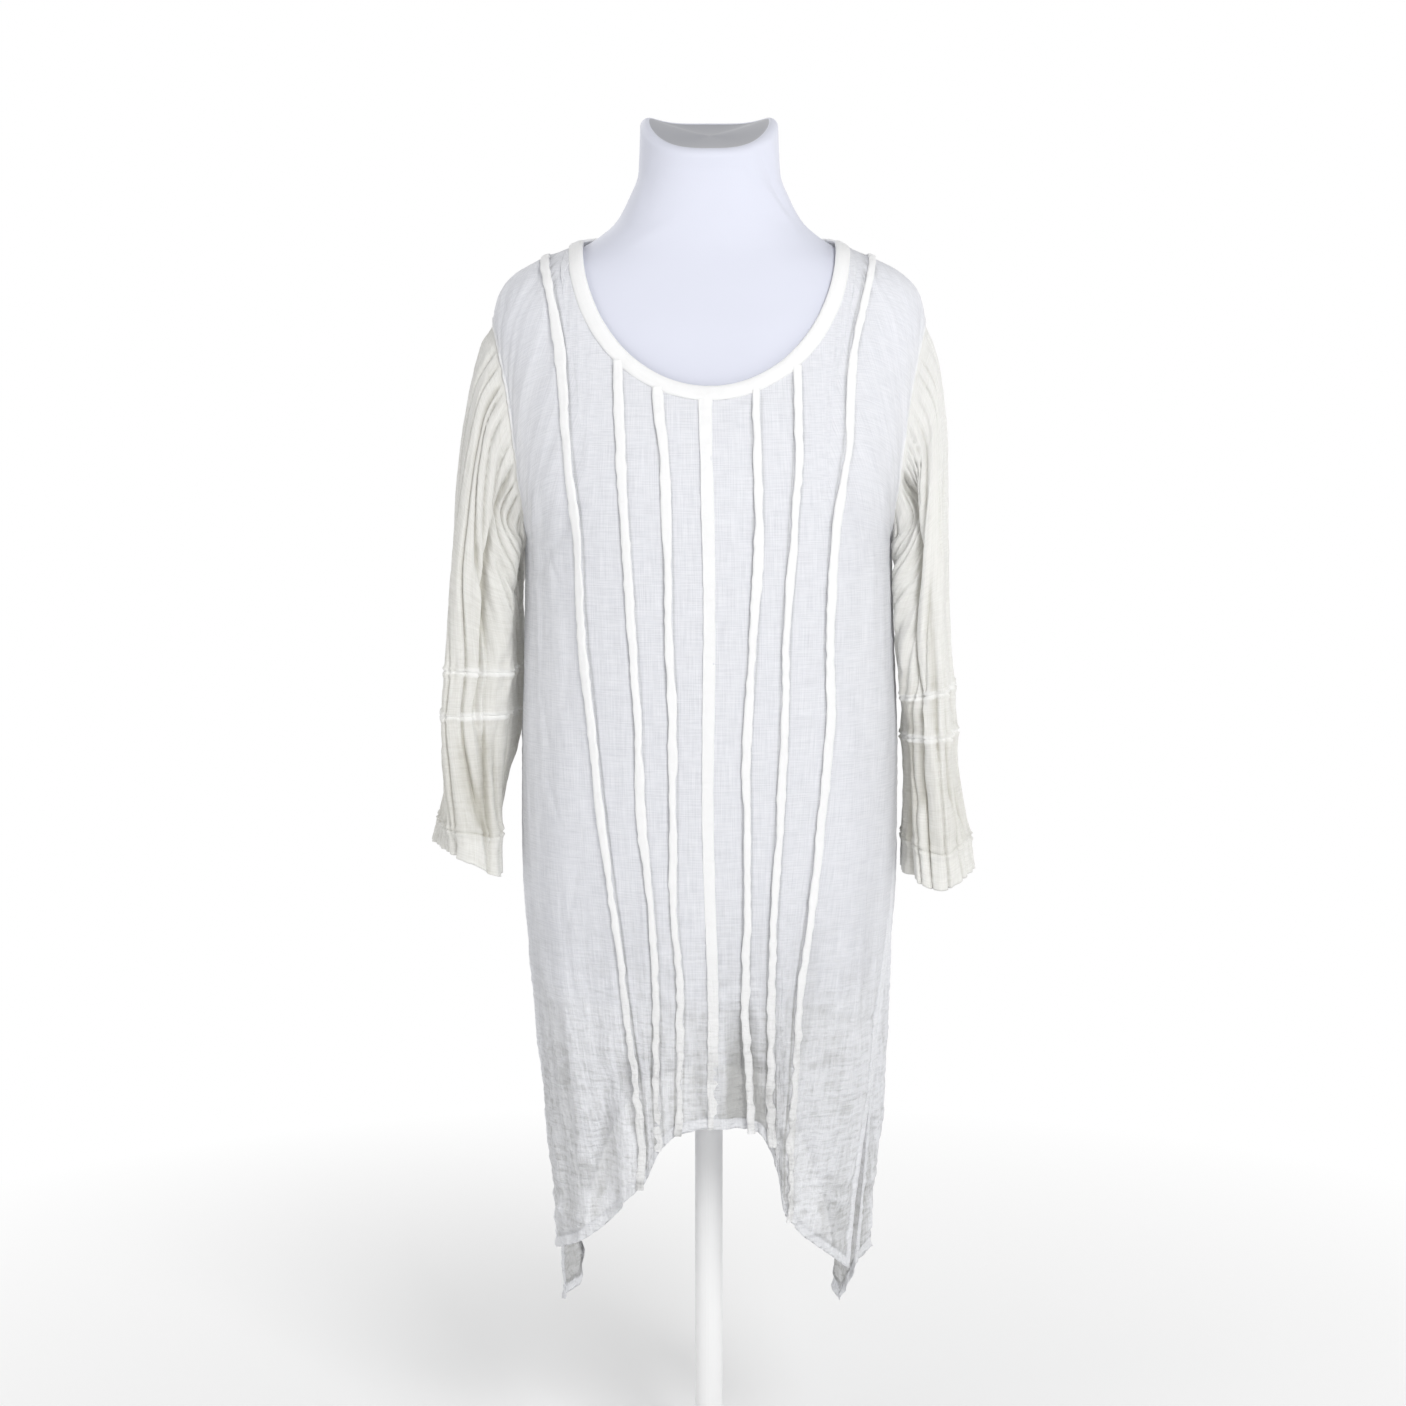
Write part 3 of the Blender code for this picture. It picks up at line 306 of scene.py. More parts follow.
SLEEVE_CREASES = {
    # turn0, z0, turn1, z1, width, depth
    "right": (
        (108.0, 0.93, 116.0, 0.7, 0.0055, -0.0045), (116.0, 0.7, 120.0, 0.615, 0.01, -0.0045),
        (142.0, 0.88, 136.0, 0.715, 0.013, 0.0065), (98.0, 0.9, 103.0, 0.69, 0.005, 0.003),
        (160.0, 0.83, 138.0, 0.76, 0.004, -0.0022), (158.0, 0.79, 136.0, 0.735, 0.004, -0.002),
        (84.0, 0.7, 92.0, 0.615, 0.008, -0.0024), (48.0, 0.69, 58.0, 0.61, 0.008, 0.002),
        (250.0, 0.9, 236.0, 0.74, 0.009, -0.003), (300.0, 0.72, 288.0, 0.61, 0.009, 0.0024),
    ),
    "left": (
        (112.0, 0.935, 118.0, 0.72, 0.0055, -0.011), (118.0, 0.72, 112.0, 0.64, 0.009, -0.006),
        (146.0, 0.87, 138.0, 0.725, 0.013, 0.0065), (96.0, 0.9, 102.0, 0.7, 0.005, 0.003),
        (160.0, 0.82, 140.0, 0.75, 0.004, -0.0022), (64.0, 0.79, 70.0, 0.64, 0.008, -0.0022),
        (82.0, 0.69, 76.0, 0.58, 0.007, 0.0036), (104.0, 0.66, 98.0, 0.58, 0.008, -0.0028),
        (252.0, 0.9, 238.0, 0.74, 0.009, -0.003), (296.0, 0.7, 282.0, 0.6, 0.009, 0.0024),
    ),
}
CUFF_DIPS = {
    # turn, half_width, drop
    "right": ((125.0, 34.0, 0.006), (255.0, 40.0, 0.004)),
    "left": ((84.0, 34.0, 0.012), (270.0, 40.0, 0.004)),
}

# Drag lines of the cover on the form's neck: x0, z0, x1, z1, width, depth
DRAG_LINES = (
    (0.052, 1.215, 0.06, 1.165, 0.0035, 0.0012),
    (0.04, 1.205, 0.068, 1.15, 0.004, -0.0011),
    (0.03, 1.19, 0.074, 1.138, 0.0035, 0.001),
    (0.05, 1.18, 0.08, 1.132, 0.003, -0.0009),
    (-0.05, 1.2, -0.064, 1.15, 0.0045, 0.0007),
    (-0.02, 1.15, -0.07, 1.12, 0.006, 0.0006),
)

INNER_TURN = 140.0  # degrees round the sleeve to the middle of the face towards the body
TURN_LENGTH = 0.0009  # metres of sleeve to a degree

CAMERA = (-0.0053, -2.3, 1.0)
CAMERA_PITCH = 6.8  # degrees down
LENS, SENSOR = 66.93, 36.0
LIGHTS = (
    # name, place, target, size, power
    ("key", (1.3, -3.0, 2.8), (0.0, 0.0, 0.85), (1.3, 1.3), 84.0),
    ("fill", (-2.6, -2.0, 1.6), (0.0, 0.0, 0.8), (1.8, 2.0), 10.0),
    ("back", (-1.4, 2.6, 2.6), (0.0, 0.0, 0.8), (1.6, 1.6), 40.0),
    ("side", (2.8, 1.4, 1.8), (0.0, 0.0, 0.8), (1.4, 2.0), 16.0),
)

WHITE = (0.885, 0.89, 0.915)
TRIM_WHITE = (0.91, 0.91, 0.91)
SEWN_WHITE = (0.935, 0.935, 0.93)
IVORY = (0.885, 0.882, 0.858)

# Grid sizes at full fineness
PANEL_COLUMNS, PANEL_ROWS = 176, (90, 250)  # rows above and below the armhole's foot
BINDING_COLUMNS = 90
SLEEVE_ROUND, SLEEVE_ROWS = 144, (120, 18, 46, 16)  # half a turn, then each part's rows
FORM_ROUND, FORM_ROWS = 160, 200


def hermite(u, step, values, tangent, i):
    """The cubic between values i and i + 1, at the share u of the step."""
    start = (1 + 2 * u) * (1 - u) ** 2 * values[i] + u * (1 - u) ** 2 * step * tangent[i]
    end = u * u * (3 - 2 * u) * values[i + 1] + u * u * (u - 1) * step * tangent[i + 1]
    return start + end


def smooth_curve(stations, values):
    """A curve through the values that doesn't overshoot them, for arrays of stations."""
    x = np.asarray(stations, float)
    y = np.asarray(values, float)
    step = np.diff(x)
    slope = np.diff(y) / step
    tangent = np.zeros(len(x))
    tangent[0], tangent[-1] = slope[0], slope[-1]
    for i in range(1, len(x) - 1):
        if slope[i - 1] * slope[i] > 0:
            tangent[i] = 2 * slope[i - 1] * slope[i] / (slope[i - 1] + slope[i])

    def at(where):
        t = np.clip(where, x[0], x[-1])
        i = np.clip(np.searchsorted(x, t) - 1, 0, len(x) - 2)
        return hermite((t - x[i]) / step[i], step[i], y, tangent, i)

    return at


def smooth_step(t):
    t = np.clip(t, 0.0, 1.0)
    return t * t * (3 - 2 * t)


def mix(a, b, share):
    return a + (b - a) * share


def bell(away, width):
    return np.exp(-((away / width) ** 2))


def turn_from(centre, angle):
    return (angle - centre + 180.0) % 360.0 - 180.0


def running(steps):
    return np.concatenate([[0.0], np.cumsum(steps)])


def path_lengths(path):
    """How far along a line of points each one lies."""
    return running(np.linalg.norm(np.diff(path, axis=0), axis=1))


def ring_functions(sections):
    columns = list(zip(*sections))
    return tuple(smooth_curve(columns[0], column) for column in columns[1:])


shell_half_width, shell_front, shell_back = ring_functions(SHELL_SECTIONS)
form_half_width, form_front, form_back = ring_functions(FORM_SECTIONS)
SEAM_HALF_WIDTH = float(shell_half_width(NECK_HEIGHT))
OPENING_HALF_WIDTH = float(shell_half_width(OPENING_HEIGHT))
line_at = {
    (panel, name): smooth_curve(LINE_HEIGHTS, xs)
    for panel, lines in PANEL_LINES.items() for name, xs in lines.items()
}
side_angle = {name: smooth_curve(SIDE_HEIGHTS, angles) for name, angles in SIDE_ANGLES.items()}
hem_curve = {key: smooth_curve(*zip(*rows)) for key, rows in HEM.items()}
SIDES = {"right": -1.0, "left": 1.0}


def rounded(value):
    return np.sign(value) * np.abs(value) ** ROUNDNESS


def ring_points(half_width, front, back, angle, height):
    sine = rounded(np.sin(np.radians(angle)))
    cosine = rounded(np.cos(np.radians(angle)))
    depth = np.where(cosine > 0, front, back)
    height = np.broadcast_to(height, np.shape(sine))
    return np.stack([half_width * sine, -depth * cosine, height], axis=-1)


def fold_depth(angle, height):
    total = np.zeros(np.broadcast(angle, height).shape)
    for centre, half_width, depth, top in BODY_FOLDS:
        away = turn_from(centre, angle)
        growth = smooth_step((top - height) / (top - HEM_REFERENCE))
        total = total + depth * growth * bell(away, half_width)
    return total


def shell_points(angle, height):
    """The outer face of the cloth, for arrays of angles and heights."""
    half_width, front, back = shell_half_width(height), shell_front(height), shell_back(height)
    points = ring_points(half_width, front, back, angle, height)
    depth = np.where(points[..., 1] < 0, front, back)
    outward = np.stack(
        [points[..., 0] / half_width**2, points[..., 1] / depth**2, np.zeros_like(depth)], axis=-1
    )
    outward /= np.linalg.norm(outward, axis=-1, keepdims=True)
    return points + outward * fold_depth(angle, height)[..., None]


def shell_normals(angle, height):
    turn, rise = 0.8, 0.0015
    along = shell_points(angle + turn, height) - shell_points(angle - turn, height)
    up = shell_points(angle, height + rise) - shell_points(angle, height - rise)
    normal = np.cross(along, up)
    return normal / np.linalg.norm(normal, axis=-1, keepdims=True)


def angle_of(x, height):
    share = np.minimum(np.abs(x) / shell_half_width(height), 1.0)
    return np.copysign(np.degrees(np.arcsin(share ** (1 / ROUNDNESS))), x)


def on_panel(panel, side, angle):
    """The angle on the front, turned to the back where the panel is the back."""
    return angle if panel == "front" else SIDES[side] * 180.0 - angle


def x_on_shell(angle, height):
    return shell_half_width(height) * rounded(np.sin(np.radians(angle)))


def edge_angle(side, height, panel):
    outwards = -1.0 if panel == "front" else 1.0
    middle = (ARMHOLE_TOP + ARMHOLE_BOTTOM) / 2
    half = (ARMHOLE_TOP - ARMHOLE_BOTTOM) / 2
    arm = ARMHOLE_HALF_ANGLE * np.sqrt(np.clip(1 - ((height - middle) / half) ** 2, 0.0, 1.0))
    front, back = SLIT_OPENING[side]
    opening = front if panel == "front" else back
    slit = opening * smooth_step((SLIT_TOP - height) / SLIT_LENGTH)
    below = side_angle[side](height) + outwards * slit
    return np.where(height >= ARMHOLE_BOTTOM, 90.0 + outwards * arm, below)


def bent_line(panel, name):
    bends = LINE_BENDS.get((panel, name))
    if bends is None:
        return line_at[panel, name]
    bend = smooth_curve(BEND_HEIGHTS, bends)
    return lambda height: line_at[panel, name](height) + bend(height) * 0.001


def half_tuck_width(height):
    share = np.clip((height - HEM_REFERENCE) / (NECK_HEIGHT - HEM_REFERENCE), 0.0, 1.0)
    return mix(TUCK_WIDTH[1], TUCK_WIDTH[0], share) / 2


def neckline_height(x, half_width, drop, height, front):
    share = np.sqrt(np.clip(1 - (x / half_width) ** 2, 0.0, 1.0))
    return height - drop * share if front else height + BACK_NECK_RISE * share


def panel_columns(side, panel):
    """The key columns of half a panel, from the centre out, as (kind, angle at each height)."""
    sign = SIDES[side]
    centre, first, second, third = (
        line_at[panel, name] for name in ("centre", side + "_1", side + "_2", side + "_3")
    )

    def along(x_at):
        def at(height):
            return on_panel(panel, side, angle_of(x_at(height), height))
        return at

    def second_edge(height):
        return second(height) + sign * half_tuck_width(height)

    def third_edge(height):
        return abs(third(height)) + half_tuck_width(height)

    def shoulder_x(height):
        outer = third(height) - sign * half_tuck_width(height)
        high = smooth_step((height - 0.95) / (NECK_HEIGHT - 0.95))
        base = mix(second_edge(height), sign * SEAM_HALF_WIDTH, high)
        drop = np.maximum(NECK_HEIGHT - height, 0.0)
        return mix(base, outer, 0.8 * drop / (drop + 0.02))

    def between(turn):
        x = sign * SEAM_HALF_WIDTH * math.sin(math.radians(turn))
        z = neckline_height(x, SEAM_HALF_WIDTH, SEAM_DROP, NECK_HEIGHT, panel == "front")
        share = (x - second_edge(z)) / (shoulder_x(z) - second_edge(z))
        return along(lambda height: mix(second_edge(height), shoulder_x(height), share))

    def outer(share):
        def at(height):
            edge = edge_angle(side, np.minimum(height, ARMHOLE_TOP), panel)
            tip = shell_half_width(ARMHOLE_TOP)
            edge_x = np.where(height < ARMHOLE_TOP, x_on_shell(edge, height), tip)
            near = third_edge(height)
            by_x = angle_of(mix(near, edge_x, share), height)
            near_angle = angle_of(near, height)
            if panel == "back":
                by_x, near_angle = 180.0 - by_x, 180.0 - near_angle
            lower = smooth_step((ARMHOLE_TOP - height) / (ARMHOLE_TOP - ARMHOLE_BOTTOM))
            return sign * mix(by_x, mix(near_angle, edge, share), lower)
        return at

    def part_way(low, high, share):
        return along(lambda height: mix(low(height), high(height), share))

    columns = [("neck", part_way(centre, first, share)) for share in (0.0, 0.33, 0.66, 1.0)]
    columns += [("neck", part_way(first, second, 0.5))]
    columns += [("neck", along(second_edge))]
    columns += [("neck", between(turn)) for turn in NECK_TURNS[panel]]
    columns.append(("shoulder_point", along(shoulder_x)))
    for i in range(1, SHOULDER_COLUMNS + 1):
        kind = "edge" if i == SHOULDER_COLUMNS else "shoulder"
        columns.append((kind, outer(i / SHOULDER_COLUMNS)))
    return columns


def hem_height(panel, side, column):
    """The height of the hem under a column."""
    reference = abs(float(column(HEM_REFERENCE)))
    return float(hem_curve[panel, side](reference if panel == "front" else 180.0 - reference))


def crossing(gap, low, high):
    sign_low = gap(low) > 0
    for _ in range(40):
        middle = (low + high) / 2
        if (gap(middle) > 0) == sign_low:
            low = middle
        else:
            high = middle
    return (low + high) / 2


def top_height(kind, column, panel):
    if kind == "edge":
        return ARMHOLE_TOP
    if kind == "shoulder_point":
        return NECK_HEIGHT
    if kind == "neck":
        def above(height):
            x = x_on_shell(column(height), height)
            return height - neckline_height(
                x, SEAM_HALF_WIDTH, SEAM_DROP, NECK_HEIGHT, panel == "front"
            )
        if panel == "front":
            return crossing(above, NECK_HEIGHT - SEAM_DROP - 0.01, NECK_HEIGHT)
        return crossing(above, NECK_HEIGHT - 0.001, NECK_HEIGHT + BACK_NECK_RISE + 0.001)
    return crossing(
        lambda height: abs(abs(column(height)) - 90.0) - 0.05, ARMHOLE_TOP + 0.002, NECK_HEIGHT
    )


def cubic(values, at, to):
    """Values at rising stations, taken at other stations by a smooth cubic."""
    at, to = np.asarray(at, float), np.asarray(to, float)
    i = np.clip(np.searchsorted(at, to, side="right") - 1, 0, len(at) - 2)
    step = np.diff(at)
    shape = (-1, *([1] * (values.ndim - 1)))
    slope = np.diff(values, axis=0) / step.reshape(shape)
    tangent = np.empty_like(values)
    tangent[0], tangent[-1] = slope[0], slope[-1]
    w = (step[:-1] / (step[:-1] + step[1:])).reshape(shape)
    tangent[1:-1] = slope[:-1] * (1 - w) + slope[1:] * w
    u = ((to - at[i]) / step[i]).reshape(shape)
    return hermite(u, step[i].reshape(shape), values, tangent, i)


def value_noise(u, v, seed):
    """Smooth noise from -1 to 1 over the plane, one cell to a unit."""
    random = np.random.default_rng(seed)
    table = random.uniform(-1.0, 1.0, (257, 257))
    iu, iv = np.floor(u).astype(int), np.floor(v).astype(int)
    fu, fv = smooth_step(u - iu), smooth_step(v - iv)
    a, b = table[iu % 256, iv % 256], table[(iu + 1) % 256, iv % 256]
    c, d = table[iu % 256, (iv + 1) % 256], table[(iu + 1) % 256, (iv + 1) % 256]
    return mix(mix(a, b, fu), mix(c, d, fu), fv)


def layered_noise(u, v, seed, layers=2):
    total, size = 0.0, 1.0
    for k in range(layers):
        total = total + size * value_noise(u * 2**k + 17.3 * k, v * 2**k + 5.1 * k, seed + k)
        size *= 0.5
    return total / (2 - 2.0 ** (1 - layers))


def grid_normals(points, around=False):
    if around:
        along = np.roll(points, -1, axis=0) - np.roll(points, 1, axis=0)
    else:
        along = np.gradient(points, axis=0)
    down = np.gradient(points, axis=1)
    normal = np.cross(down, along)
    length = np.linalg.norm(normal, axis=-1, keepdims=True)
    return normal / np.maximum(length, 1e-12)


def ring_normals(points):
    """The outward normals of a grid whose rows are closed rings."""
    facing = grid_normals(points, around=True)
    outward = points - points.mean(axis=0, keepdims=True)
    return facing * np.sign(np.sum(facing * outward, axis=-1).mean())


def arc_lengths(points, axis):
    step = np.linalg.norm(np.diff(points, axis=axis), axis=-1)
    pad = [(0, 0), (0, 0)]
    pad[axis] = (1, 0)
    return np.pad(np.cumsum(step, axis=axis), pad)


def segment_distance(x, z, x0, z0, x1, z1):
    """Distance to a segment in the front view, and how far along it the nearest point lies."""
    dx, dz = x1 - x0, z1 - z0
    t = ((x - x0) * dx + (z - z0) * dz) / (dx * dx + dz * dz)
    near = np.clip(t, 0.0, 1.0)
    return np.hypot(x - x0 - near * dx, z - z0 - near * dz), t


def creases(panel, points):
    total = np.zeros(points.shape[:2])
    for x0, z0, x1, z1, width, depth in CREASES[panel]:
        away, t = segment_distance(points[..., 0], points[..., 2], x0, z0, x1, z1)
        taper = smooth_step(t * 3 + 0.6) * smooth_step((1 - t) * 3 + 0.6)
        total += depth * bell(away, width) * taper
    return total


def cloth_object(name, points, uv, material, layers, nodes, around=False):
    """A sheet from a grid of points. uv is in metres of cloth. layers is up to 1 where the cloth is two
    layers thick, and negative where shade is painted into its colour; on the upper left sleeve a small
    positive part is painted light. The body gets more crinkled towards the hem."""
    columns, rows = points.shape[:2]
    mesh = bpy.data.meshes.new(name)
    index = np.arange(columns * rows).reshape(columns, rows)
    right = np.roll(index, -1, axis=0) if around else index[1:]
    left = index if around else index[:-1]
    faces = np.stack([left[:, :-1], left[:, 1:], right[:, 1:], right[:, :-1]], axis=-1)
    faces = faces.reshape(-1, 4)
    mesh.vertices.add(columns * rows)
    mesh.vertices.foreach_set("co", points.reshape(-1))
    mesh.loops.add(faces.size)
    mesh.loops.foreach_set("vertex_index", faces.reshape(-1))
    mesh.polygons.add(len(faces))
    mesh.polygons.foreach_set("loop_start", np.arange(0, faces.size, 4))
    mesh.update(calc_edges=True)
    mesh.validate()
    cut = mesh.uv_layers.new(name="cut")
    flat = uv.reshape(-1, 2)
    cut.data.foreach_set("uv", flat[faces.reshape(-1)].astype(np.float32).reshape(-1))
    # The layers attribute: up to 1 where the cloth is two layers thick, negative where shade is painted, and
    # a little raised where light is painted on the upper left sleeve
    layers_and_painted_shade = mesh.attributes.new("layers", "FLOAT", "POINT")
    layers_and_painted_shade.data.foreach_set("value", layers.reshape(-1).astype(np.float32))
    z = points[..., 2].reshape(-1)
    amount = np.full(z.shape, 0.30)
    if material != GAUZE_SLEEVE:
        amount = 0.10 + 0.90 * smooth_step((0.60 - z) / 0.24)
    crinkle = mesh.attributes.new("crinkle", "FLOAT", "POINT")
    crinkle.data.foreach_set("value", amount.astype(np.float32))
    mesh.materials.append(material)
    mesh.shade_smooth()
    piece = bpy.data.objects.new(name, mesh)
    bpy.context.scene.collection.objects.link(piece)
    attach(piece, "root")
    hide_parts(*nodes)
    return piece


def half_panel(side, panel, across, rows_up, rows_down):
    """Half a panel on the shell, from the centre out and from the top down: angles and heights.

    Also gives the angle and height of the neck opening over each column that ends on the neckline."""
    angles, heights, opening = [], [], []
    turns = (1 - np.cos(np.linspace(0.0, math.pi, 120))) / 2
    for kind, column in panel_columns(side, panel):
        top = top_height(kind, column, panel)
        end = hem_height(panel, side, column)
        samples = mix(top, ARMHOLE_BOTTOM, turns)
        line = shell_points(column(samples), samples)
        travelled = path_lengths(line)
        upper = np.interp(np.linspace(0.0, travelled[-1], rows_up + 1), travelled, samples)
        height = np.concatenate([upper, np.linspace(ARMHOLE_BOTTOM, end, rows_down + 1)[1:]])
        angle = np.array(column(height))
        if kind in ("shoulder", "shoulder_point", "edge"):
            angle[0] = SIDES[side] * 90.0
        if kind in ("neck", "shoulder_point"):
            x = float(x_on_shell(angle[0], height[0])) / SEAM_HALF_WIDTH
            x = max(min(x, 1.0), -1.0) * OPENING_HALF_WIDTH
            z = neckline_height(x, OPENING_HALF_WIDTH, OPENING_DROP, OPENING_HEIGHT, panel == "front")
            opening.append((on_panel(panel, side, float(angle_of(x, z))), float(z)))
        angles.append(angle)
        heights.append(height)
    angles, heights = np.array(angles), np.array(heights)
    points = shell_points(angles, heights)
    widths = np.linalg.norm(np.diff(points, axis=0), axis=-1).mean(axis=1)
    stations = running(widths)
    fine = np.linspace(0.0, stations[-1], 2000)
    weight = np.ones_like(fine)
    for place in (stations[0], stations[3], stations[5], stations[len(opening) - 1]):
        weight += 2.2 * bell(fine - place, 0.011)
    weight = running((weight[1:] + weight[:-1]) / 2)
    to = np.interp(np.linspace(0.0, weight[-1], across + 1), weight, fine)
    neck_to = np.concatenate([to[to < stations[len(opening) - 1]], [stations[len(opening) - 1]]])
    neck = np.stack([angles[: len(opening), 0], heights[: len(opening), 0]], axis=-1)
    neck = np.concatenate([neck, np.array(opening)], axis=-1)
    neck = cubic(neck, stations[: len(opening)], neck_to)
    return cubic(angles, stations, to), cubic(heights, stations, to), neck


def turned_under(points, facing, uv, layers, count, inset, axis):
    """The cloth's last rows or columns again, folded back inside it."""
    def tail(grid, skip):
        take = [slice(None)] * grid.ndim
        take[axis] = slice(-1 - skip, -2 - skip - count, -1)
        return grid[tuple(take)]

    back, back_facing = tail(points, 0), tail(facing, 0)
    shape = [1, 1, 1]
    shape[axis] = count + 1
    rise = np.full(count + 1, 1.0)
    rise[0] = 0.45
    folded = back - back_facing * (inset * rise).reshape(shape)
    edge = np.take(uv, [-1], axis=axis)
    return (
        np.concatenate([points, folded], axis=axis),
        np.concatenate([facing, back_facing], axis=axis),
        np.concatenate([uv, 2 * edge - tail(uv, 0)], axis=axis),
        np.concatenate([layers, tail(layers, 0)], axis=axis),
    )


def tuck_free(side, number):
    """The side of a tuck that its free edge is on, as a sign of x."""
    return 1.0 if (side, number) == ("right", 3) else -1.0


def line_distances(panel, side, points):
    """Signed distance in x from each raised line of a half panel, the free edge's side positive."""
    x, z = points[..., 0], points[..., 2]
    yield x - bent_line(panel, "centre")(z)
    for number in (1, 2, 3):
        yield (x - bent_line(panel, f"{side}_{number}")(z)) * tuck_free(side, number)


def crumpled(z):
    """How crumpled the body's cloth is at a height: 0 above, 1 in the lower skirt."""
    return smooth_step((CRUMPLE_TOP - z) / CRUMPLE_SPAN)


def cloth_relief(u, v, points, panel, seed):
    """How far the crinkled cloth of a body panel stands off its smooth shell."""
    z = points[..., 2]
    low = crumpled(z)
    sides = smooth_step((np.abs(points[..., 0]) - 0.10) / 0.04)
    crinkle = layered_noise(u / 0.0075, v / 0.075, seed) * mix(0.00032, 0.0019, low)
    broad = mix(0.00050, 0.0030, np.maximum(low, 0.5 * sides))
    crinkle += layered_noise(u / 0.016, v / 0.16, seed + 7) * broad
    crinkle += layered_noise(u / 0.045, v / 0.10, seed + 11) * mix(0.0010, 0.0026, low)
    across = smooth_step((0.345 - z) / 0.06)
    crinkle += layered_noise(u / 0.040, v / 0.0070, seed + 13) * 0.0024 * across
    crinkle += layered_noise(u / 0.030, v / 0.0046, seed + 19) * mix(0.00020, 0.00100, low)
    return crinkle + creases(panel, points)


def panel_sheet(name, halves, panel, seed):
    """A body panel from one half, or from both halves of the back."""
    parts = []
    for side, across, rows_up, rows_down in halves:
        angles, heights, _ = half_panel(side, panel, across, rows_up, rows_down)
        points = shell_points(angles, heights)
        u = arc_lengths(points, 0)
        v = arc_lengths(points, 1)
        v = v - v[:, rows_up:rows_up + 1]
        edge = u[-1:] - u
        puckers = np.zeros_like(u)
        shadow = np.zeros_like(u)
        for number, away in enumerate(line_distances(panel, side, points)):
            near = bell(away, 0.011)
            if number:
                half = half_tuck_width(points[..., 2]) * STRIP_SHARE[0]
                under = bell(away - half - 0.0007, 0.0011)
                shadow = np.maximum(shadow, under)
                shadow = np.maximum(shadow, 0.7 * bell(away + half + 0.0006, 0.0009))
            puckers += near * value_noise(v / 0.0062, u * 0 + number * 9.7 + seed, seed + 3) * 0.0007
        low = v[:, -1:] - v
        hem = bell(low, 0.011)
        hem_pucker = value_noise(u / 0.0048, low / 0.030 + 3.1, seed + 5)
        puckers += hem * hem_pucker * 0.0017
        puckers -= bell(low - HEM_DEPTH, 0.0012) * 0.0005
        facing = grid_normals(points)
        outward = np.stack([points[..., 0], points[..., 1] * 1.4, np.zeros_like(u)], axis=-1)
        facing *= np.sign(np.sum(facing * outward, axis=-1, keepdims=True).mean())
        felled = smooth_step((0.0072 - edge) / 0.0012)
        groove = bell(edge - 0.0075, 0.0011)
        stitched = value_noise(v / 0.0045, edge * 0 + 1.7, seed + 9) * bell(edge, 0.010)
        top = v - v[:, :1]
        fade = smooth_step(edge / 0.010) * (0.25 + 0.75 * smooth_step(top / 0.045))
        shadow = shadow * smooth_step(top / 0.012)
        relief = cloth_relief(u * SIDES[side], v, points, panel, seed) * fade + puckers * fade
        relief += felled * 0.0008 - groove * 0.0006 + stitched * 0.0006 - shadow * 0.0009
        relief *= smooth_step(edge / 0.0015) * smooth_step(top / 0.0015)
        points = points + facing * relief[..., None]
        layers_and_painted_shade = np.maximum(
            felled * mix(0.25, 1.0, smooth_step((points[..., 2] - 0.84) / 0.04)),
            smooth_step((HEM_DEPTH - low) / 0.0015) * 0.35,
        )
        x, z = points[..., 0], points[..., 2]
        soft = crumpled(z)
        fine = layered_noise(u / 0.0048, v / 0.030, seed + 23) + 0.8 * value_noise(
            u / 0.020, v / 0.0036, seed + 27
        )
        # Painted shade, stored as negative layers: shadow lines beside the tucks, shade in the hollows of
        # the crinkle and of the hem's puckers, and the shade patches; the fine noise term is a random mottle
        # of the cloth
        shade_and_mottle = 0.50 * shadow + 0.34 * smooth_step(0.3 - relief / 0.0030) * soft
        shade_and_mottle += 0.16 * smooth_step(fine - 0.1) * mix(0.15, 1.0, soft)
        shade_and_mottle += 0.30 * hem * smooth_step(hem_pucker * -1.5)
        for x0, z0, wide, tall, depth in SHADE_PATCHES[panel]:
            shade_and_mottle += depth * bell(x - x0, wide) * bell(z - z0, tall)
        layers_and_painted_shade = np.where(layers_and_painted_shade < 0.02, -np.clip(shade_and_mottle, 0.0, 1.0), layers_and_painted_shade)
        uv = np.stack([u * SIDES[side], v], axis=-1)
        parts.append((points, facing, uv, layers_and_painted_shade))
    if len(parts) == 1:
        sets = turned_under(*parts[0], *HEM_FOLD, 1)
        sets = turned_under(*sets, *EDGE_FOLD, 0)
    else:
        joined = [np.concatenate([a[::-1], b[1:]]) for a, b in zip(*parts)]
        sets = turned_under(*joined, *HEM_FOLD, 1)
        for _ in range(2):
            sets = turned_under(*sets, *EDGE_FOLD, 0)
            sets = [part[::-1] for part in sets]
    points, _, uv, layers_and_painted_shade = sets
    return cloth_object(name + "_cloth", points, uv, GAUZE_BODY, layers_and_painted_shade, (name,))


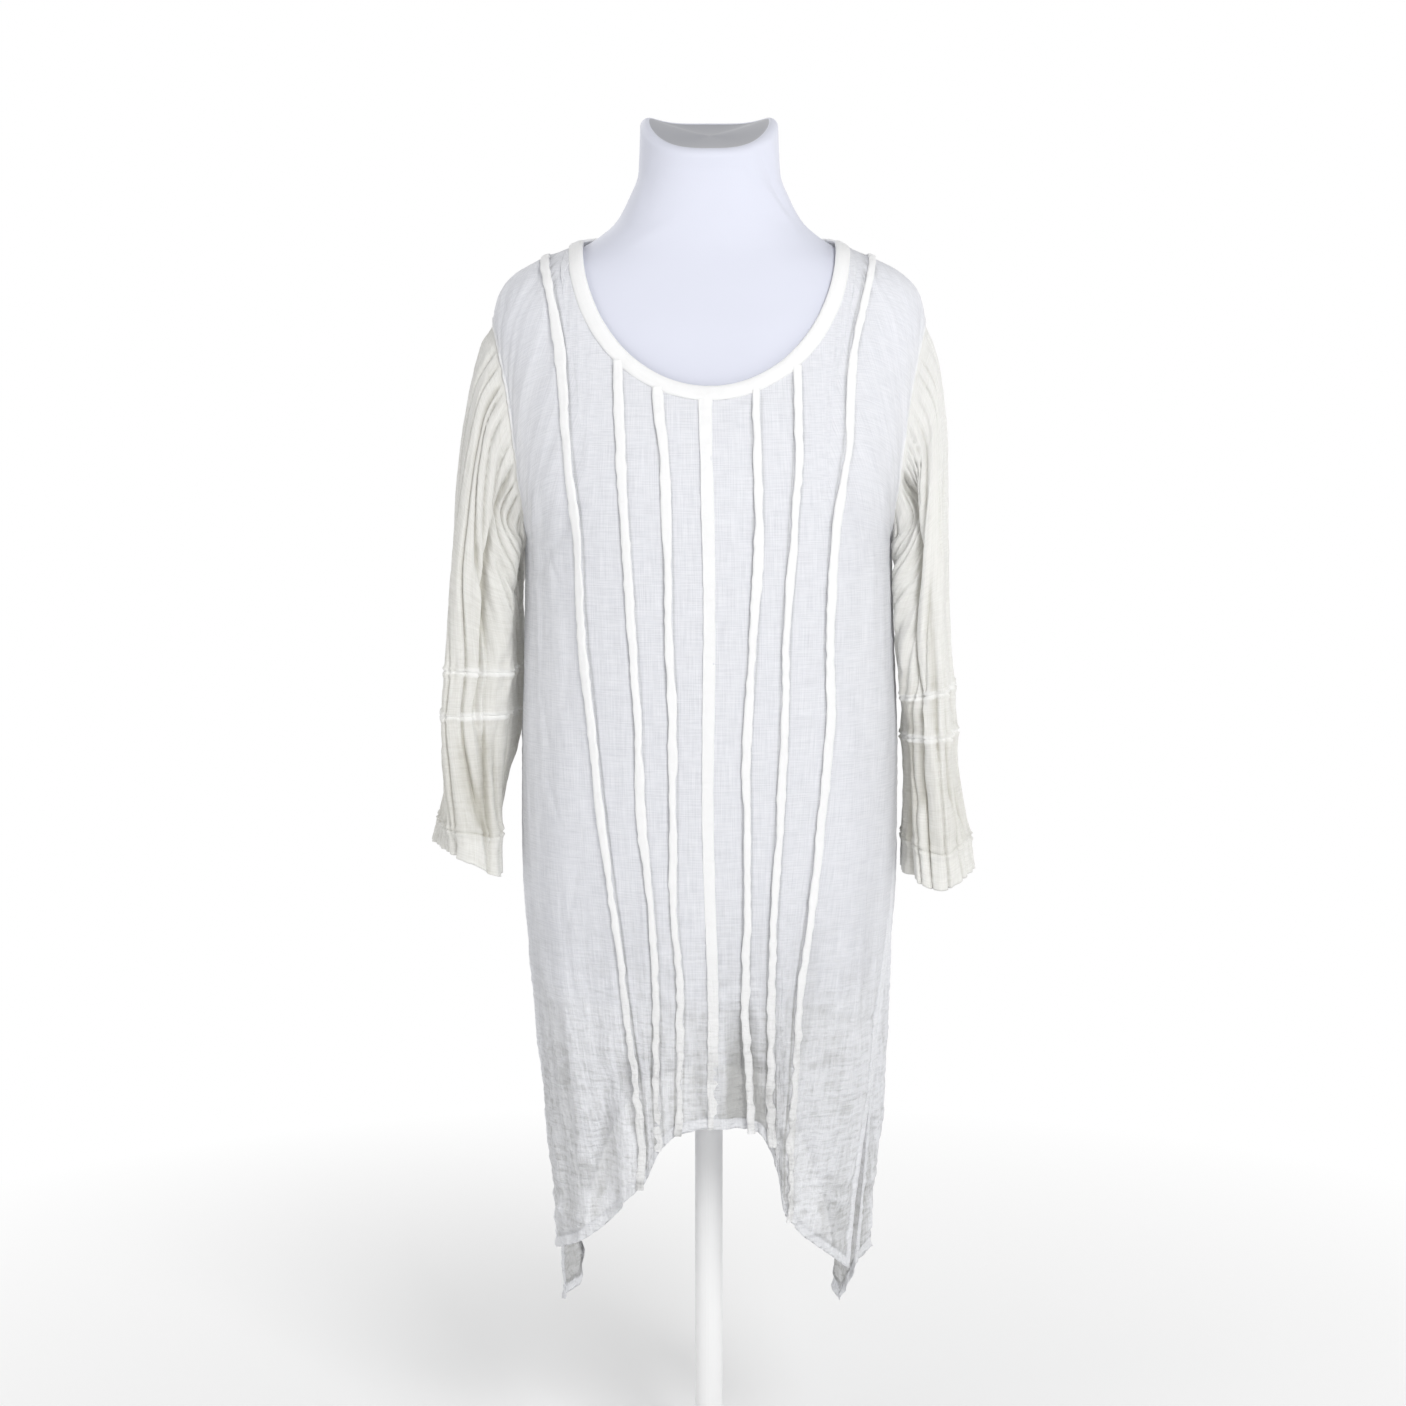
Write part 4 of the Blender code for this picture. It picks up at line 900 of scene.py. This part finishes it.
def strip_sheet(name, panel, line, width, top_kind, seed, side="right", free=1.0, flat=False):
    """A raised line of the cloth: a tuck with a free edge, or the flat centre seam."""
    def column(height):
        return on_panel(panel, side, angle_of(line(height), height))

    top = top_height(top_kind, column, panel)
    end = hem_height(panel, side, column) - STRIP_STOP
    samples = np.linspace(top, end, 400)
    path = shell_points(column(samples), samples)
    travelled = path_lengths(path)
    rows = int(travelled[-1] / STRIP_STEP * FINENESS)
    v = np.linspace(0.0, travelled[-1], rows + 1)
    height = np.interp(v, travelled, samples)
    low = smooth_step((0.60 - height) / 0.25)
    nothing = v * 0
    wobble = layered_noise(v / 0.030, nothing + seed, seed) * mix(0.0007, 0.0012, low)
    wobble += value_noise(v / 0.0075, nothing + seed, seed + 1) * mix(0.0003, 0.0011, low)
    wobble -= wobble.mean()
    swell = 1.0 + 0.34 * layered_noise(v / 0.045, nothing + seed, seed + 2)
    swell += mix(0.12, 0.30, low) * value_noise(v / 0.007, nothing + seed, seed + 4)
    lift = 1.0 + 0.30 * layered_noise(v / 0.030, nothing + seed, seed + 6)
    if flat:
        wobble, swell = wobble * 0.25, 1.0 + (swell - 1.0) * 0.25
    half = half_tuck_width(height) * width * swell
    columns = []
    for share, up in STRIP_PROFILE[flat]:
        place = line(height) + np.abs(half) * share * free + wobble
        turn = on_panel(panel, side, angle_of(place, height))
        base = shell_points(turn, height)
        normal = shell_normals(turn, height)
        ripple = value_noise(v / 0.0055, nothing + share * 0.6 + seed, seed + 8) * 0.0005
        columns.append(base + normal * (STRIP_RISE[flat] * up * lift + ripple + 0.0007)[:, None])
    points = np.array(columns)
    u = arc_lengths(points, 0)
    uv = np.stack([u, np.broadcast_to(v, u.shape)], axis=-1)
    ends = value_noise(v / 0.016, nothing + 3.0, seed + 21)
    solid = mix(0.10 + 0.45 * ends, 1.0, smooth_step((height - 0.38) / 0.22))
    layers_and_painted_shade = np.broadcast_to(solid, u.shape)
    return cloth_object(name + "_cloth", points, uv, GAUZE_TRIM, layers_and_painted_shade, (name,))


def neck_loop(across):
    """The seam and the opening round the neck, from the centre front by the left: angle and height each."""
    loops = {}
    for panel in ("front", "back"):
        for side in SIDES:
            loops[panel, side] = half_panel(side, panel, across, 2, 2)[2]
    left = np.concatenate([loops["front", "left"], loops["back", "left"][-2::-1]])
    right = np.concatenate([loops["back", "right"][1:], loops["front", "right"][-2:0:-1]])
    right[:, 0] = np.where(right[:, 0] < 0, right[:, 0] + 360.0, right[:, 0])
    right[:, 2] = np.where(right[:, 2] < 0, right[:, 2] + 360.0, right[:, 2])
    return np.concatenate([left, right])


def binding_sheet(across):
    """The bias band round the neck: it comes up over the seam and rolls into the opening."""
    loop = neck_loop(across)
    where = shell_points(loop[:, 0], loop[:, 1])
    u = path_lengths(where)
    pucker = value_noise(u / 0.0052, u * 0 + 4.0, 71) * 0.00045 + value_noise(u / 0.021, u * 0, 72) * 0.0004
    columns = []
    for share, rise in BINDING_PROFILE:
        angle, height = mix(loop[:, 0], loop[:, 2], share), mix(loop[:, 1], loop[:, 3], share)
        base, normal = shell_points(angle, height), shell_normals(angle, height)
        ripple = pucker * bell(share - 0.12, 0.30) + 0.4 * pucker * (rise > 0)
        groove = 0.0005 * bell(share - 0.14, 0.05)
        columns.append(base + normal * (rise + ripple - groove)[:, None])
    points = np.transpose(np.array(columns), (1, 0, 2))
    v = arc_lengths(points, 1)
    uv = np.stack([np.broadcast_to(u[:, None], v.shape), v], axis=-1)
    return cloth_object(
        "neck_binding_cloth", points, uv, GAUZE_TRIM, np.ones(v.shape), ("neck_binding",), around=True
    )


def sleeve_fold_depth(turn, height):
    total = 0.0
    for centre, half_width, depth, top, bottom in SLEEVE_FOLDS:
        away = turn_from(centre, turn)
        fade = 0.25 * (top - bottom)
        growth = smooth_step((top - height) / fade) * smooth_step((height - bottom) / fade + 0.35)
        total = total + depth * growth * bell(away, half_width)
    return total


def cuff_dip(side, turn, height):
    """How far the cuff's edge hangs lower there; it grows over the sleeve's last 0.09 m."""
    total = 0.0
    for centre, half_width, drop in CUFF_DIPS[side]:
        away = turn_from(centre, turn)
        total = total + drop * bell(away, half_width)
    return total * smooth_step((0.67 - height) / 0.09)


def sleeve_rings(side, front_edge, back_edge):
    """The rings of a sleeve at its sections, as [turn][section]. The first is the armhole."""
    sign = SIDES[side]
    loop = np.concatenate([front_edge, back_edge[-2:0:-1]])
    turn = 360.0 * np.arange(len(loop)) / len(loop)
    cosine, sine = rounded(np.cos(np.radians(turn))), rounded(np.sin(np.radians(turn)))
    rings = [loop]
    for outer, outer_height, inner, inner_height, depth, lean in SLEEVE_SECTIONS[side]:
        x = mix(inner, outer, (1 + cosine) / 2) + lean * sine
        z = mix(inner_height, outer_height, (1 + cosine) / 2)
        z = z - cuff_dip(side, turn, z)
        outward = np.stack([cosine / (outer - inner) * 2, -sine / depth, x * 0], axis=-1)
        outward /= np.linalg.norm(outward, axis=-1, keepdims=True)
        ring = np.stack([x, -depth * sine, z], axis=-1)
        ring = ring + outward * sleeve_fold_depth(turn, z)[:, None]
        rings.append(ring * (sign, 1.0, 1.0))
    return np.stack(rings, axis=1), turn


def sleeve_relief(side, u, v, turn, z, length, seams):
    """How far the crinkled cloth of a sleeve stands off its smooth shell."""
    seed = 200 if side == "right" else 300

    def ridges(u):
        bend = value_noise(u / 0.030, v / 0.070, seed) * 0.4
        place = value_noise(u / 0.0085 + bend, v / 0.21, seed + 1)
        total = 0.0016 - 0.0044 * bell(place, 0.17) + 0.0024 * np.abs(place)
        total += layered_noise(u / 0.0060, v / 0.060, seed + 2) * 0.0007
        total += layered_noise(u / 0.026, v / 0.150, seed + 4) * 0.0028
        total += layered_noise(u / 0.020, v / 0.0060, seed + 6) * 0.00035
        for k, (place, spread) in enumerate(seams):
            near = bell(v - place, spread)
            total += near * value_noise(u / 0.0052, v / 0.05, seed + 11 + k) * 0.0023
        return total

    wrap = smooth_step((u / length - 0.85) / 0.15)
    total = mix(ridges(u), ridges(u - length), wrap)
    for turn0, z0, turn1, z1, width, depth in SLEEVE_CREASES[side]:
        away, span = turn_from(turn0, turn) * TURN_LENGTH, (turn1 - turn0) * TURN_LENGTH
        distance, t = segment_distance(away, z, 0.0, z0, span, z1)
        taper = smooth_step(t * 3 + 0.5) * smooth_step((1 - t) * 3 + 0.5)
        total += depth * bell(distance, width) * taper
    for place, _ in seams[:-1]:
        away = v - place - value_noise(u / 0.0085, u * 0 + 2.3, seed + 31) * 0.0013
        total += 0.0017 * bell(np.abs(away) - 0.0024, 0.0018)
        total -= 0.0012 * bell(away, 0.0010)
    return total


def add_sleeve(side, rows_up, rows):
    edges = []
    for panel in ("front", "back"):
        angles, heights, _ = half_panel(side, panel, 8, rows_up, 2)
        edges.append(shell_points(angles[-1, :rows_up + 1], heights[-1, :rows_up + 1]))
    rings, turn = sleeve_rings(side, *edges)
    spans = np.linalg.norm(np.diff(rings, axis=1), axis=-1).mean(axis=0)
    stations = running(spans)
    stops, marks = [np.array([0.0])], [0]
    for (_, first, last), count in zip(SLEEVE_PIECES, rows):
        stops.append(np.linspace(stations[first], stations[last], count + 1)[1:])
        marks.append(marks[-1] + count)
    stops = np.concatenate(stops)
    points = cubic(np.transpose(rings, (1, 0, 2)), stations, stops)
    points = np.transpose(points, (1, 0, 2))
    ring_steps = np.linalg.norm(np.roll(points, -1, axis=0) - points, axis=-1)
    lengths = ring_steps.sum(axis=0, keepdims=True)
    u = np.concatenate([np.zeros((1, points.shape[1])), np.cumsum(ring_steps[:-1], axis=0)])
    v = np.broadcast_to(stops, u.shape)
    seams = [(stations[i], spread) for i, spread in SLEEVE_SEAMS]
    relief = sleeve_relief(side, u, v, turn[:, None], points[..., 2], lengths, seams)
    relief *= smooth_step(v / 0.012)
    facing = ring_normals(points)
    points = points + facing * relief[..., None]
    # Painted shade in the hollows between the sleeve's ridges; the next line makes the sleeve darker towards
    # the bottom
    layers_and_painted_shade = -0.50 * smooth_step((0.0010 - relief) / 0.0048)
    layers_and_painted_shade -= 0.14 * smooth_step((0.74 - points[..., 2]) / 0.10)
    # Painted light on the upper left sleeve; painted shade on the lower left sleeve's inner face, towards
    # the body, and over all of the right sleeve, on the side away from the key light
    upper = smooth_step((points[..., 2] - 0.70) / 0.10)
    if side == "left":
        inner = bell(turn[:, None] - INNER_TURN, 15.0)
        layers_and_painted_shade += 0.16 * upper - 0.42 * (1.0 - upper) * inner
    else:
        layers_and_painted_shade -= 0.09
    for place, _ in seams[:2]:
        spot = 0.0030 + 0.0016 * value_noise(u / 0.0075, u * 0 + 5.1, 77)
        near = smooth_step((spot - np.abs(v - place)) / 0.0012)
        layers_and_painted_shade = mix(layers_and_painted_shade, 1.0, near * 0.9)
    layers_and_painted_shade = mix(layers_and_painted_shade, 0.5 * layers_and_painted_shade + 0.10, smooth_step((v - stations[10]) / 0.002))
    uv = np.stack([u, v], axis=-1)
    pieces = []
    for (name, _, _), first, last in zip(SLEEVE_PIECES, marks, marks[1:]):
        cut = [part[:, first:last + 1] for part in (points, facing, uv, layers_and_painted_shade)]
        if name == "cuff":
            cut = turned_under(*cut, len(cut[0][0]) - 2, CUFF_INSET, 1)
        node = f"sleeve_{side}_{name}"
        pieces.append(
            cloth_object(node + "_cloth", cut[0], cut[2], GAUZE_SLEEVE, cut[3], (node,), around=True)
        )
    return pieces


def add_form(sides, rows):
    """The dress form, with the tilted, slightly dished top of its neck and a few drag lines."""
    bottom, top = FORM_SECTIONS[0][0], FORM_SECTIONS[-1][0]
    angle = 360.0 * np.arange(sides) / sides

    def ring(height, swell=0.0):
        points = ring_points(
            form_half_width(height) + swell, form_front(height) + swell,
            form_back(height) + swell, angle, height,
        )
        middle = (float(form_front(height)) - float(form_back(height))) / 2
        share = min(max((height - TILT_FROM) / (top - NECK_BEVEL - TILT_FROM), 0.0), 1.0)
        points[:, 2] += NECK_TOP_TILT * share * (points[:, 1] + middle)
        points[:, 2] += share * NECK_CORNER_RISE * np.abs(np.sin(np.radians(angle))) ** 3
        return points

    grid = []
    low = ring(bottom)
    centre = np.array((0.0, low[:, 1].mean(), bottom))
    grid += [centre + (low - centre) * s for s in (0.02, 0.3, 0.6, 0.9, 0.98)]
    grid += [ring(height) for height in np.linspace(bottom, 0.482, 4)]
    grid += [ring(height) for height in np.linspace(0.486, top - NECK_BEVEL, rows)]
    for k in range(1, 6):
        a = math.radians(90.0 * k / 5)
        grid.append(ring(top - NECK_BEVEL + NECK_BEVEL * math.sin(a), swell=-NECK_BEVEL * (1 - math.cos(a))))
    rim = grid[-1]
    centre = rim.mean(axis=0)
    cap_from = len(grid)
    for s in CAP_SHARES:
        cap = centre + (rim - centre) * s
        cap[:, 2] -= NECK_DISH * (1 - s**2) + 0.0007 * smooth_step((1 - s) / 0.04)
        grid.append(cap)
    points = np.transpose(np.array(grid), (1, 0, 2))
    facing = ring_normals(points)
    relief = np.zeros(points.shape[:2])
    x, z = points[..., 0], points[..., 2]
    for x0, z0, x1, z1, width, depth in DRAG_LINES:
        away, t = segment_distance(x, z, x0, z0, x1, z1)
        taper = smooth_step(t * 3 + 0.3) * smooth_step((1 - t) * 3 + 0.3) * (points[..., 1] < 0)
        relief += depth * bell(away, width) * taper
    relief += layered_noise(x / 0.05 + 9, z / 0.08, 91) * 0.0004 * smooth_step((z - 1.13) / 0.02)
    relief[:, cap_from - 4:] = 0
    points = points + facing * relief[..., None]
    mesh_uv = np.stack([np.broadcast_to(angle[:, None] * 0.0022, x.shape), z], axis=-1)
    form = cloth_object(
        "form_cover", points, mesh_uv, JERSEY, np.zeros(x.shape), ("form_torso",), around=True
    )
    # The cap's faces take the painted shade of the neck's dished top
    form.data.materials.append(JERSEY_TOP_SHADE)
    rows_total = points.shape[1] - 1
    index = np.tile(np.arange(rows_total) >= cap_from, sides).astype(np.int32)
    form.data.polygons.foreach_set("material_index", index)
    mesh = bmesh.new()
    mesh.from_mesh(form.data)
    bmesh.ops.holes_fill(mesh, edges=[e for e in mesh.edges if e.is_boundary])
    mesh.to_mesh(form.data)
    mesh.free()
    form.data.shade_smooth()
    return form


def node_group(block):
    """Clears a material's or world's nodes, and gives a function that adds one with its links."""
    block.use_nodes = True
    tree = block.node_tree
    tree.nodes.clear()

    def add(kind, inputs=(), **settings):
        node = tree.nodes.new("ShaderNode" + kind)
        for name, value in settings.items():
            setattr(node, name, value)
        for name, value in dict(inputs).items():
            if isinstance(value, bpy.types.NodeSocket):
                tree.links.new(value, node.inputs[name])
            else:
                node.inputs[name].default_value = value
        return node

    return add


def ranged(add, value, low, high, to_low=0.0, to_high=1.0):
    limits = {"Value": value, "From Min": low, "From Max": high, "To Min": to_low, "To Max": to_high}
    return add("MapRange", limits).outputs[0]


def reckon(add, operation, *values, clamp=False):
    return add("Math", enumerate(values), operation=operation, use_clamp=clamp).outputs[0]


def blend(add, share, first, second):
    """A colour between two: each is a colour, or a socket that gives one."""
    pair = [c if isinstance(c, bpy.types.NodeSocket) else (*c, 1.0) for c in (first, second)]
    return add("Mix", {0: share, 6: pair[0], 7: pair[1]}, data_type="RGBA").outputs[2]


def noise(add, place, scale, detail):
    return add("TexNoise", {"Vector": place, "Scale": scale, "Detail": detail}).outputs[0]


def gauze(name, colour, shade, thin, painted_shade_colour):
    """Open plain weave with slubs both ways. thin is how much shows through a single layer, and deep is the
    painted shade colour, reached where the layers attribute is -1; the hollows of the crinkle's bump take
    part of it too."""
    material = bpy.data.materials.new(name)
    add = node_group(material)
    uv = add("UVMap", uv_map="cut").outputs[0]

    def threads(u, v, detail):
        place = add("Mapping", {"Vector": uv, "Scale": (1 / u, 1 / v, 1.0)}).outputs[0]
        return noise(add, place, 1.0, detail)

    warp, weft = threads(0.0010, 0.030, 2.0), threads(0.024, 0.0010, 2.0)
    patches = threads(0.012, 0.012, 2.0)
    both = reckon(add, "ADD", warp, weft)
    weave = ranged(add, both, 0.72, 1.28)
    slub = ranged(add, weft, 0.60, 0.72)
    layers = add("Attribute", attribute_name="layers").outputs["Fac"]
    single = ranged(add, layers, 0.0, 1.0, 1.0, 0.06)
    open_weave = ranged(add, weave, 0.0, 1.0, 1.4, 0.6)
    spread = ranged(add, patches, 0.3, 0.7, 0.8, 1.2)
    through = reckon(add, "MULTIPLY", single, open_weave)
    through = reckon(add, "MULTIPLY", through, spread)
    through = reckon(add, "MULTIPLY", through, thin)
    lit = reckon(add, "MAXIMUM", weave, slub)
    lit = reckon(add, "MAXIMUM", lit, layers)
    crinkle = add("Attribute", attribute_name="crinkle").outputs["Fac"]
    upright, level = threads(0.0040, 0.024, 3.0), threads(0.020, 0.0036, 3.0)
    folds = reckon(add, "ADD", upright, level)
    # Painted shade: the hollows of the crinkle's bump, stronger where the cloth is more crinkled, and the
    # negative layers darken the colour towards the painted shade colour
    crinkle_shade = reckon(add, "MULTIPLY", ranged(add, folds, 1.02, 0.76, 0.0, 0.40), crinkle)
    shade_share = reckon(add, "MULTIPLY_ADD", layers, -1.0, crinkle_shade, clamp=True)
    sewn = reckon(add, "MULTIPLY", layers, 0.6, clamp=True)
    tint = blend(add, shade_share, blend(add, lit, shade, colour), painted_shade_colour)
    tint = blend(add, sewn, tint, SEWN_WHITE)
    height = reckon(add, "ADD", both, slub)
    bump = add("Bump", {"Height": height, "Strength": 0.38, "Distance": 0.0003}).outputs[0]
    bump = add(
        "Bump", {"Height": folds, "Strength": crinkle, "Distance": 0.0030, "Normal": bump}
    ).outputs[0]
    cloth = add(
        "BsdfPrincipled",
        {"Base Color": tint, "Roughness": 0.88, "Normal": bump, "Sheen Weight": 0.12},
    )
    glow = add("BsdfTranslucent", {"Color": tint, "Normal": bump})
    body = add("MixShader", {0: 0.22, 1: cloth.outputs[0], 2: glow.outputs[0]})
    clear = add("BsdfTransparent")
    whole = add("MixShader", {0: through, 1: body.outputs[0], 2: clear.outputs[0]})
    add("OutputMaterial", {"Surface": whole.outputs[0]})
    material.diffuse_color = (*colour, 1.0)
    return material


def jersey(name, colour):
    material = bpy.data.materials.new(name)
    add = node_group(material)
    place = add("TexCoord").outputs["Object"]
    knit, soft = noise(add, place, 900.0, 2.0), noise(add, place, 22.0, 2.0)
    tint = blend(add, soft, [c * 0.97 for c in colour], colour)
    bump = add("Bump", {"Height": knit, "Strength": 0.25, "Distance": 0.0002}).outputs[0]
    cover = add(
        "BsdfPrincipled",
        {"Base Color": tint, "Roughness": 0.78, "Normal": bump, "Sheen Weight": 0.25},
    )
    add("OutputMaterial", {"Surface": cover.outputs[0]})
    return material


def satin_paint(name, colour):
    material = bpy.data.materials.new(name)
    add = node_group(material)
    place = add("TexCoord").outputs["Object"]
    grain, wear = noise(add, place, 260.0, 3.0), noise(add, place, 14.0, 4.0)
    rough = ranged(add, wear, 0.3, 0.7, 0.30, 0.42)
    bump = add("Bump", {"Height": grain, "Strength": 0.08, "Distance": 0.0003}).outputs[0]
    paint = add(
        "BsdfPrincipled", {"Base Color": (*colour, 1.0), "Roughness": rough, "Normal": bump}
    )
    add("OutputMaterial", {"Surface": paint.outputs[0]})
    return material


def add_stage():
    """A pale floor that runs into the white surroundings, soft boxes and the camera."""
    bpy.ops.mesh.primitive_plane_add(size=60.0)
    floor = bpy.context.object
    floor.name = "floor"
    material = bpy.data.materials.new("floor")
    add = node_group(material)
    place = add("TexCoord").outputs["Object"]
    away = add("VectorMath", {0: place}, operation="LENGTH").outputs["Value"]
    far = ranged(add, away, 0.25, 1.3)
    matt = add("BsdfPrincipled", {"Base Color": (0.95, 0.95, 0.95, 1.0), "Roughness": 0.9})
    white = add("Emission", {"Color": (1.0, 1.0, 1.0, 1.0), "Strength": 1.0})
    both = add("MixShader", {0: far, 1: matt.outputs[0], 2: white.outputs[0]})
    add("OutputMaterial", {"Surface": both.outputs[0]})
    floor.data.materials.append(material)

    scene = bpy.context.scene
    world = bpy.data.worlds.new("studio")
    scene.world = world
    add = node_group(world)
    direction = add("TexCoord").outputs["Generated"]
    up = add("SeparateXYZ", {0: direction}).outputs["Z"]
    level = ranged(add, up, 0.18, 0.50, 1.0, 0.25)
    back = add("Background", {"Color": (1.0, 1.0, 1.0, 1.0), "Strength": level})
    add("OutputWorld", {"Surface": back.outputs[0]})

    for name, place, target, size, power in LIGHTS:
        lamp = bpy.data.lights.new(name, "AREA")
        lamp.shape = "RECTANGLE"
        lamp.size, lamp.size_y = size
        lamp.energy = power
        holder = bpy.data.objects.new(name, lamp)
        scene.collection.objects.link(holder)
        holder.location = place
        aim = Vector(target) - Vector(place)
        holder.rotation_euler = aim.to_track_quat("-Z", "Y").to_euler()

    camera = bpy.data.objects.new("camera", bpy.data.cameras.new("camera"))
    scene.collection.objects.link(camera)
    camera.location = CAMERA
    camera.rotation_euler = (math.radians(90.0 - CAMERA_PITCH), 0.0, 0.0)
    camera.data.lens, camera.data.sensor_width = LENS, SENSOR
    scene.camera = camera
    scene.view_settings.view_transform = "Standard"


def add_cloth():
    across = int(PANEL_COLUMNS * FINENESS)
    rows_up, rows_down = (int(n * FINENESS) for n in PANEL_ROWS)
    pieces = []
    for k, side in enumerate(SIDES):
        name = "front_" + side
        pieces.append(panel_sheet(name, [(side, across, rows_up, rows_down)], "front", 11 + 40 * k))
    halves = [(side, int(across * 0.75), rows_up, rows_down) for side in SIDES]
    pieces.append(panel_sheet("back", halves, "back", 131))
    pieces.append(strip_sheet(
        "centre_front_seam", "front", bent_line("front", "centre"), STRIP_SHARE[1], "neck", 5,
        flat=True,
    ))
    for panel, prefix in (("front", "tuck"), ("back", "back_tuck")):
        for side in SIDES:
            for number in (1, 2, 3):
                pieces.append(strip_sheet(
                    f"{prefix}_{side}_{number}", panel, bent_line(panel, f"{side}_{number}"), STRIP_SHARE[0],
                    "shoulder" if number == 3 else "neck", 31 * number + len(pieces) * 7,
                    side=side, free=tuck_free(side, number),
                ))
    pieces.append(binding_sheet(int(BINDING_COLUMNS * FINENESS)))
    rows = [int(n * FINENESS) for n in SLEEVE_ROWS]
    for side in SIDES:
        pieces += add_sleeve(side, int(SLEEVE_ROUND * FINENESS), rows)
    return pieces


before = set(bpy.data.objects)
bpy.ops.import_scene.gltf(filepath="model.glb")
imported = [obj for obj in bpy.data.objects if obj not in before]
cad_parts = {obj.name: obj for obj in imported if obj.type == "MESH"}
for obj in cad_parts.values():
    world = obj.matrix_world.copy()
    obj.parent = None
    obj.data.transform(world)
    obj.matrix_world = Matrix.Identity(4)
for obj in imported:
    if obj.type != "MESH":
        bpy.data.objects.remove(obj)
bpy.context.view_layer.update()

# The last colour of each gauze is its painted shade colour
GAUZE_BODY = gauze("gauze_body", WHITE, (0.82, 0.83, 0.86), 0.12, (0.44, 0.44, 0.43))
GAUZE_TRIM = gauze("gauze_trim", TRIM_WHITE, (0.85, 0.85, 0.85), 0.04, (0.42, 0.42, 0.41))
GAUZE_SLEEVE = gauze("gauze_sleeve", IVORY, (0.83, 0.825, 0.79), 0.09, (0.50, 0.48, 0.41))
JERSEY = jersey("form_jersey_cover", (0.625, 0.64, 0.725))
# Painted shade: the dished top of the form's neck, darkened to the grey shade that lies in its hollow
JERSEY_TOP_SHADE = jersey("form_jersey_top_painted_shade", (0.34, 0.345, 0.375))
STEEL = satin_paint("white_satin_paint", (0.82, 0.82, 0.82))

cloth = add_cloth()
form = add_form(int(FORM_ROUND * FINENESS), int(FORM_ROWS * FINENESS))
for name in ("stand_pole", "stand_base"):
    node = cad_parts[name]
    node.data.materials.clear()
    node.data.materials.append(STEEL)
add_stage()
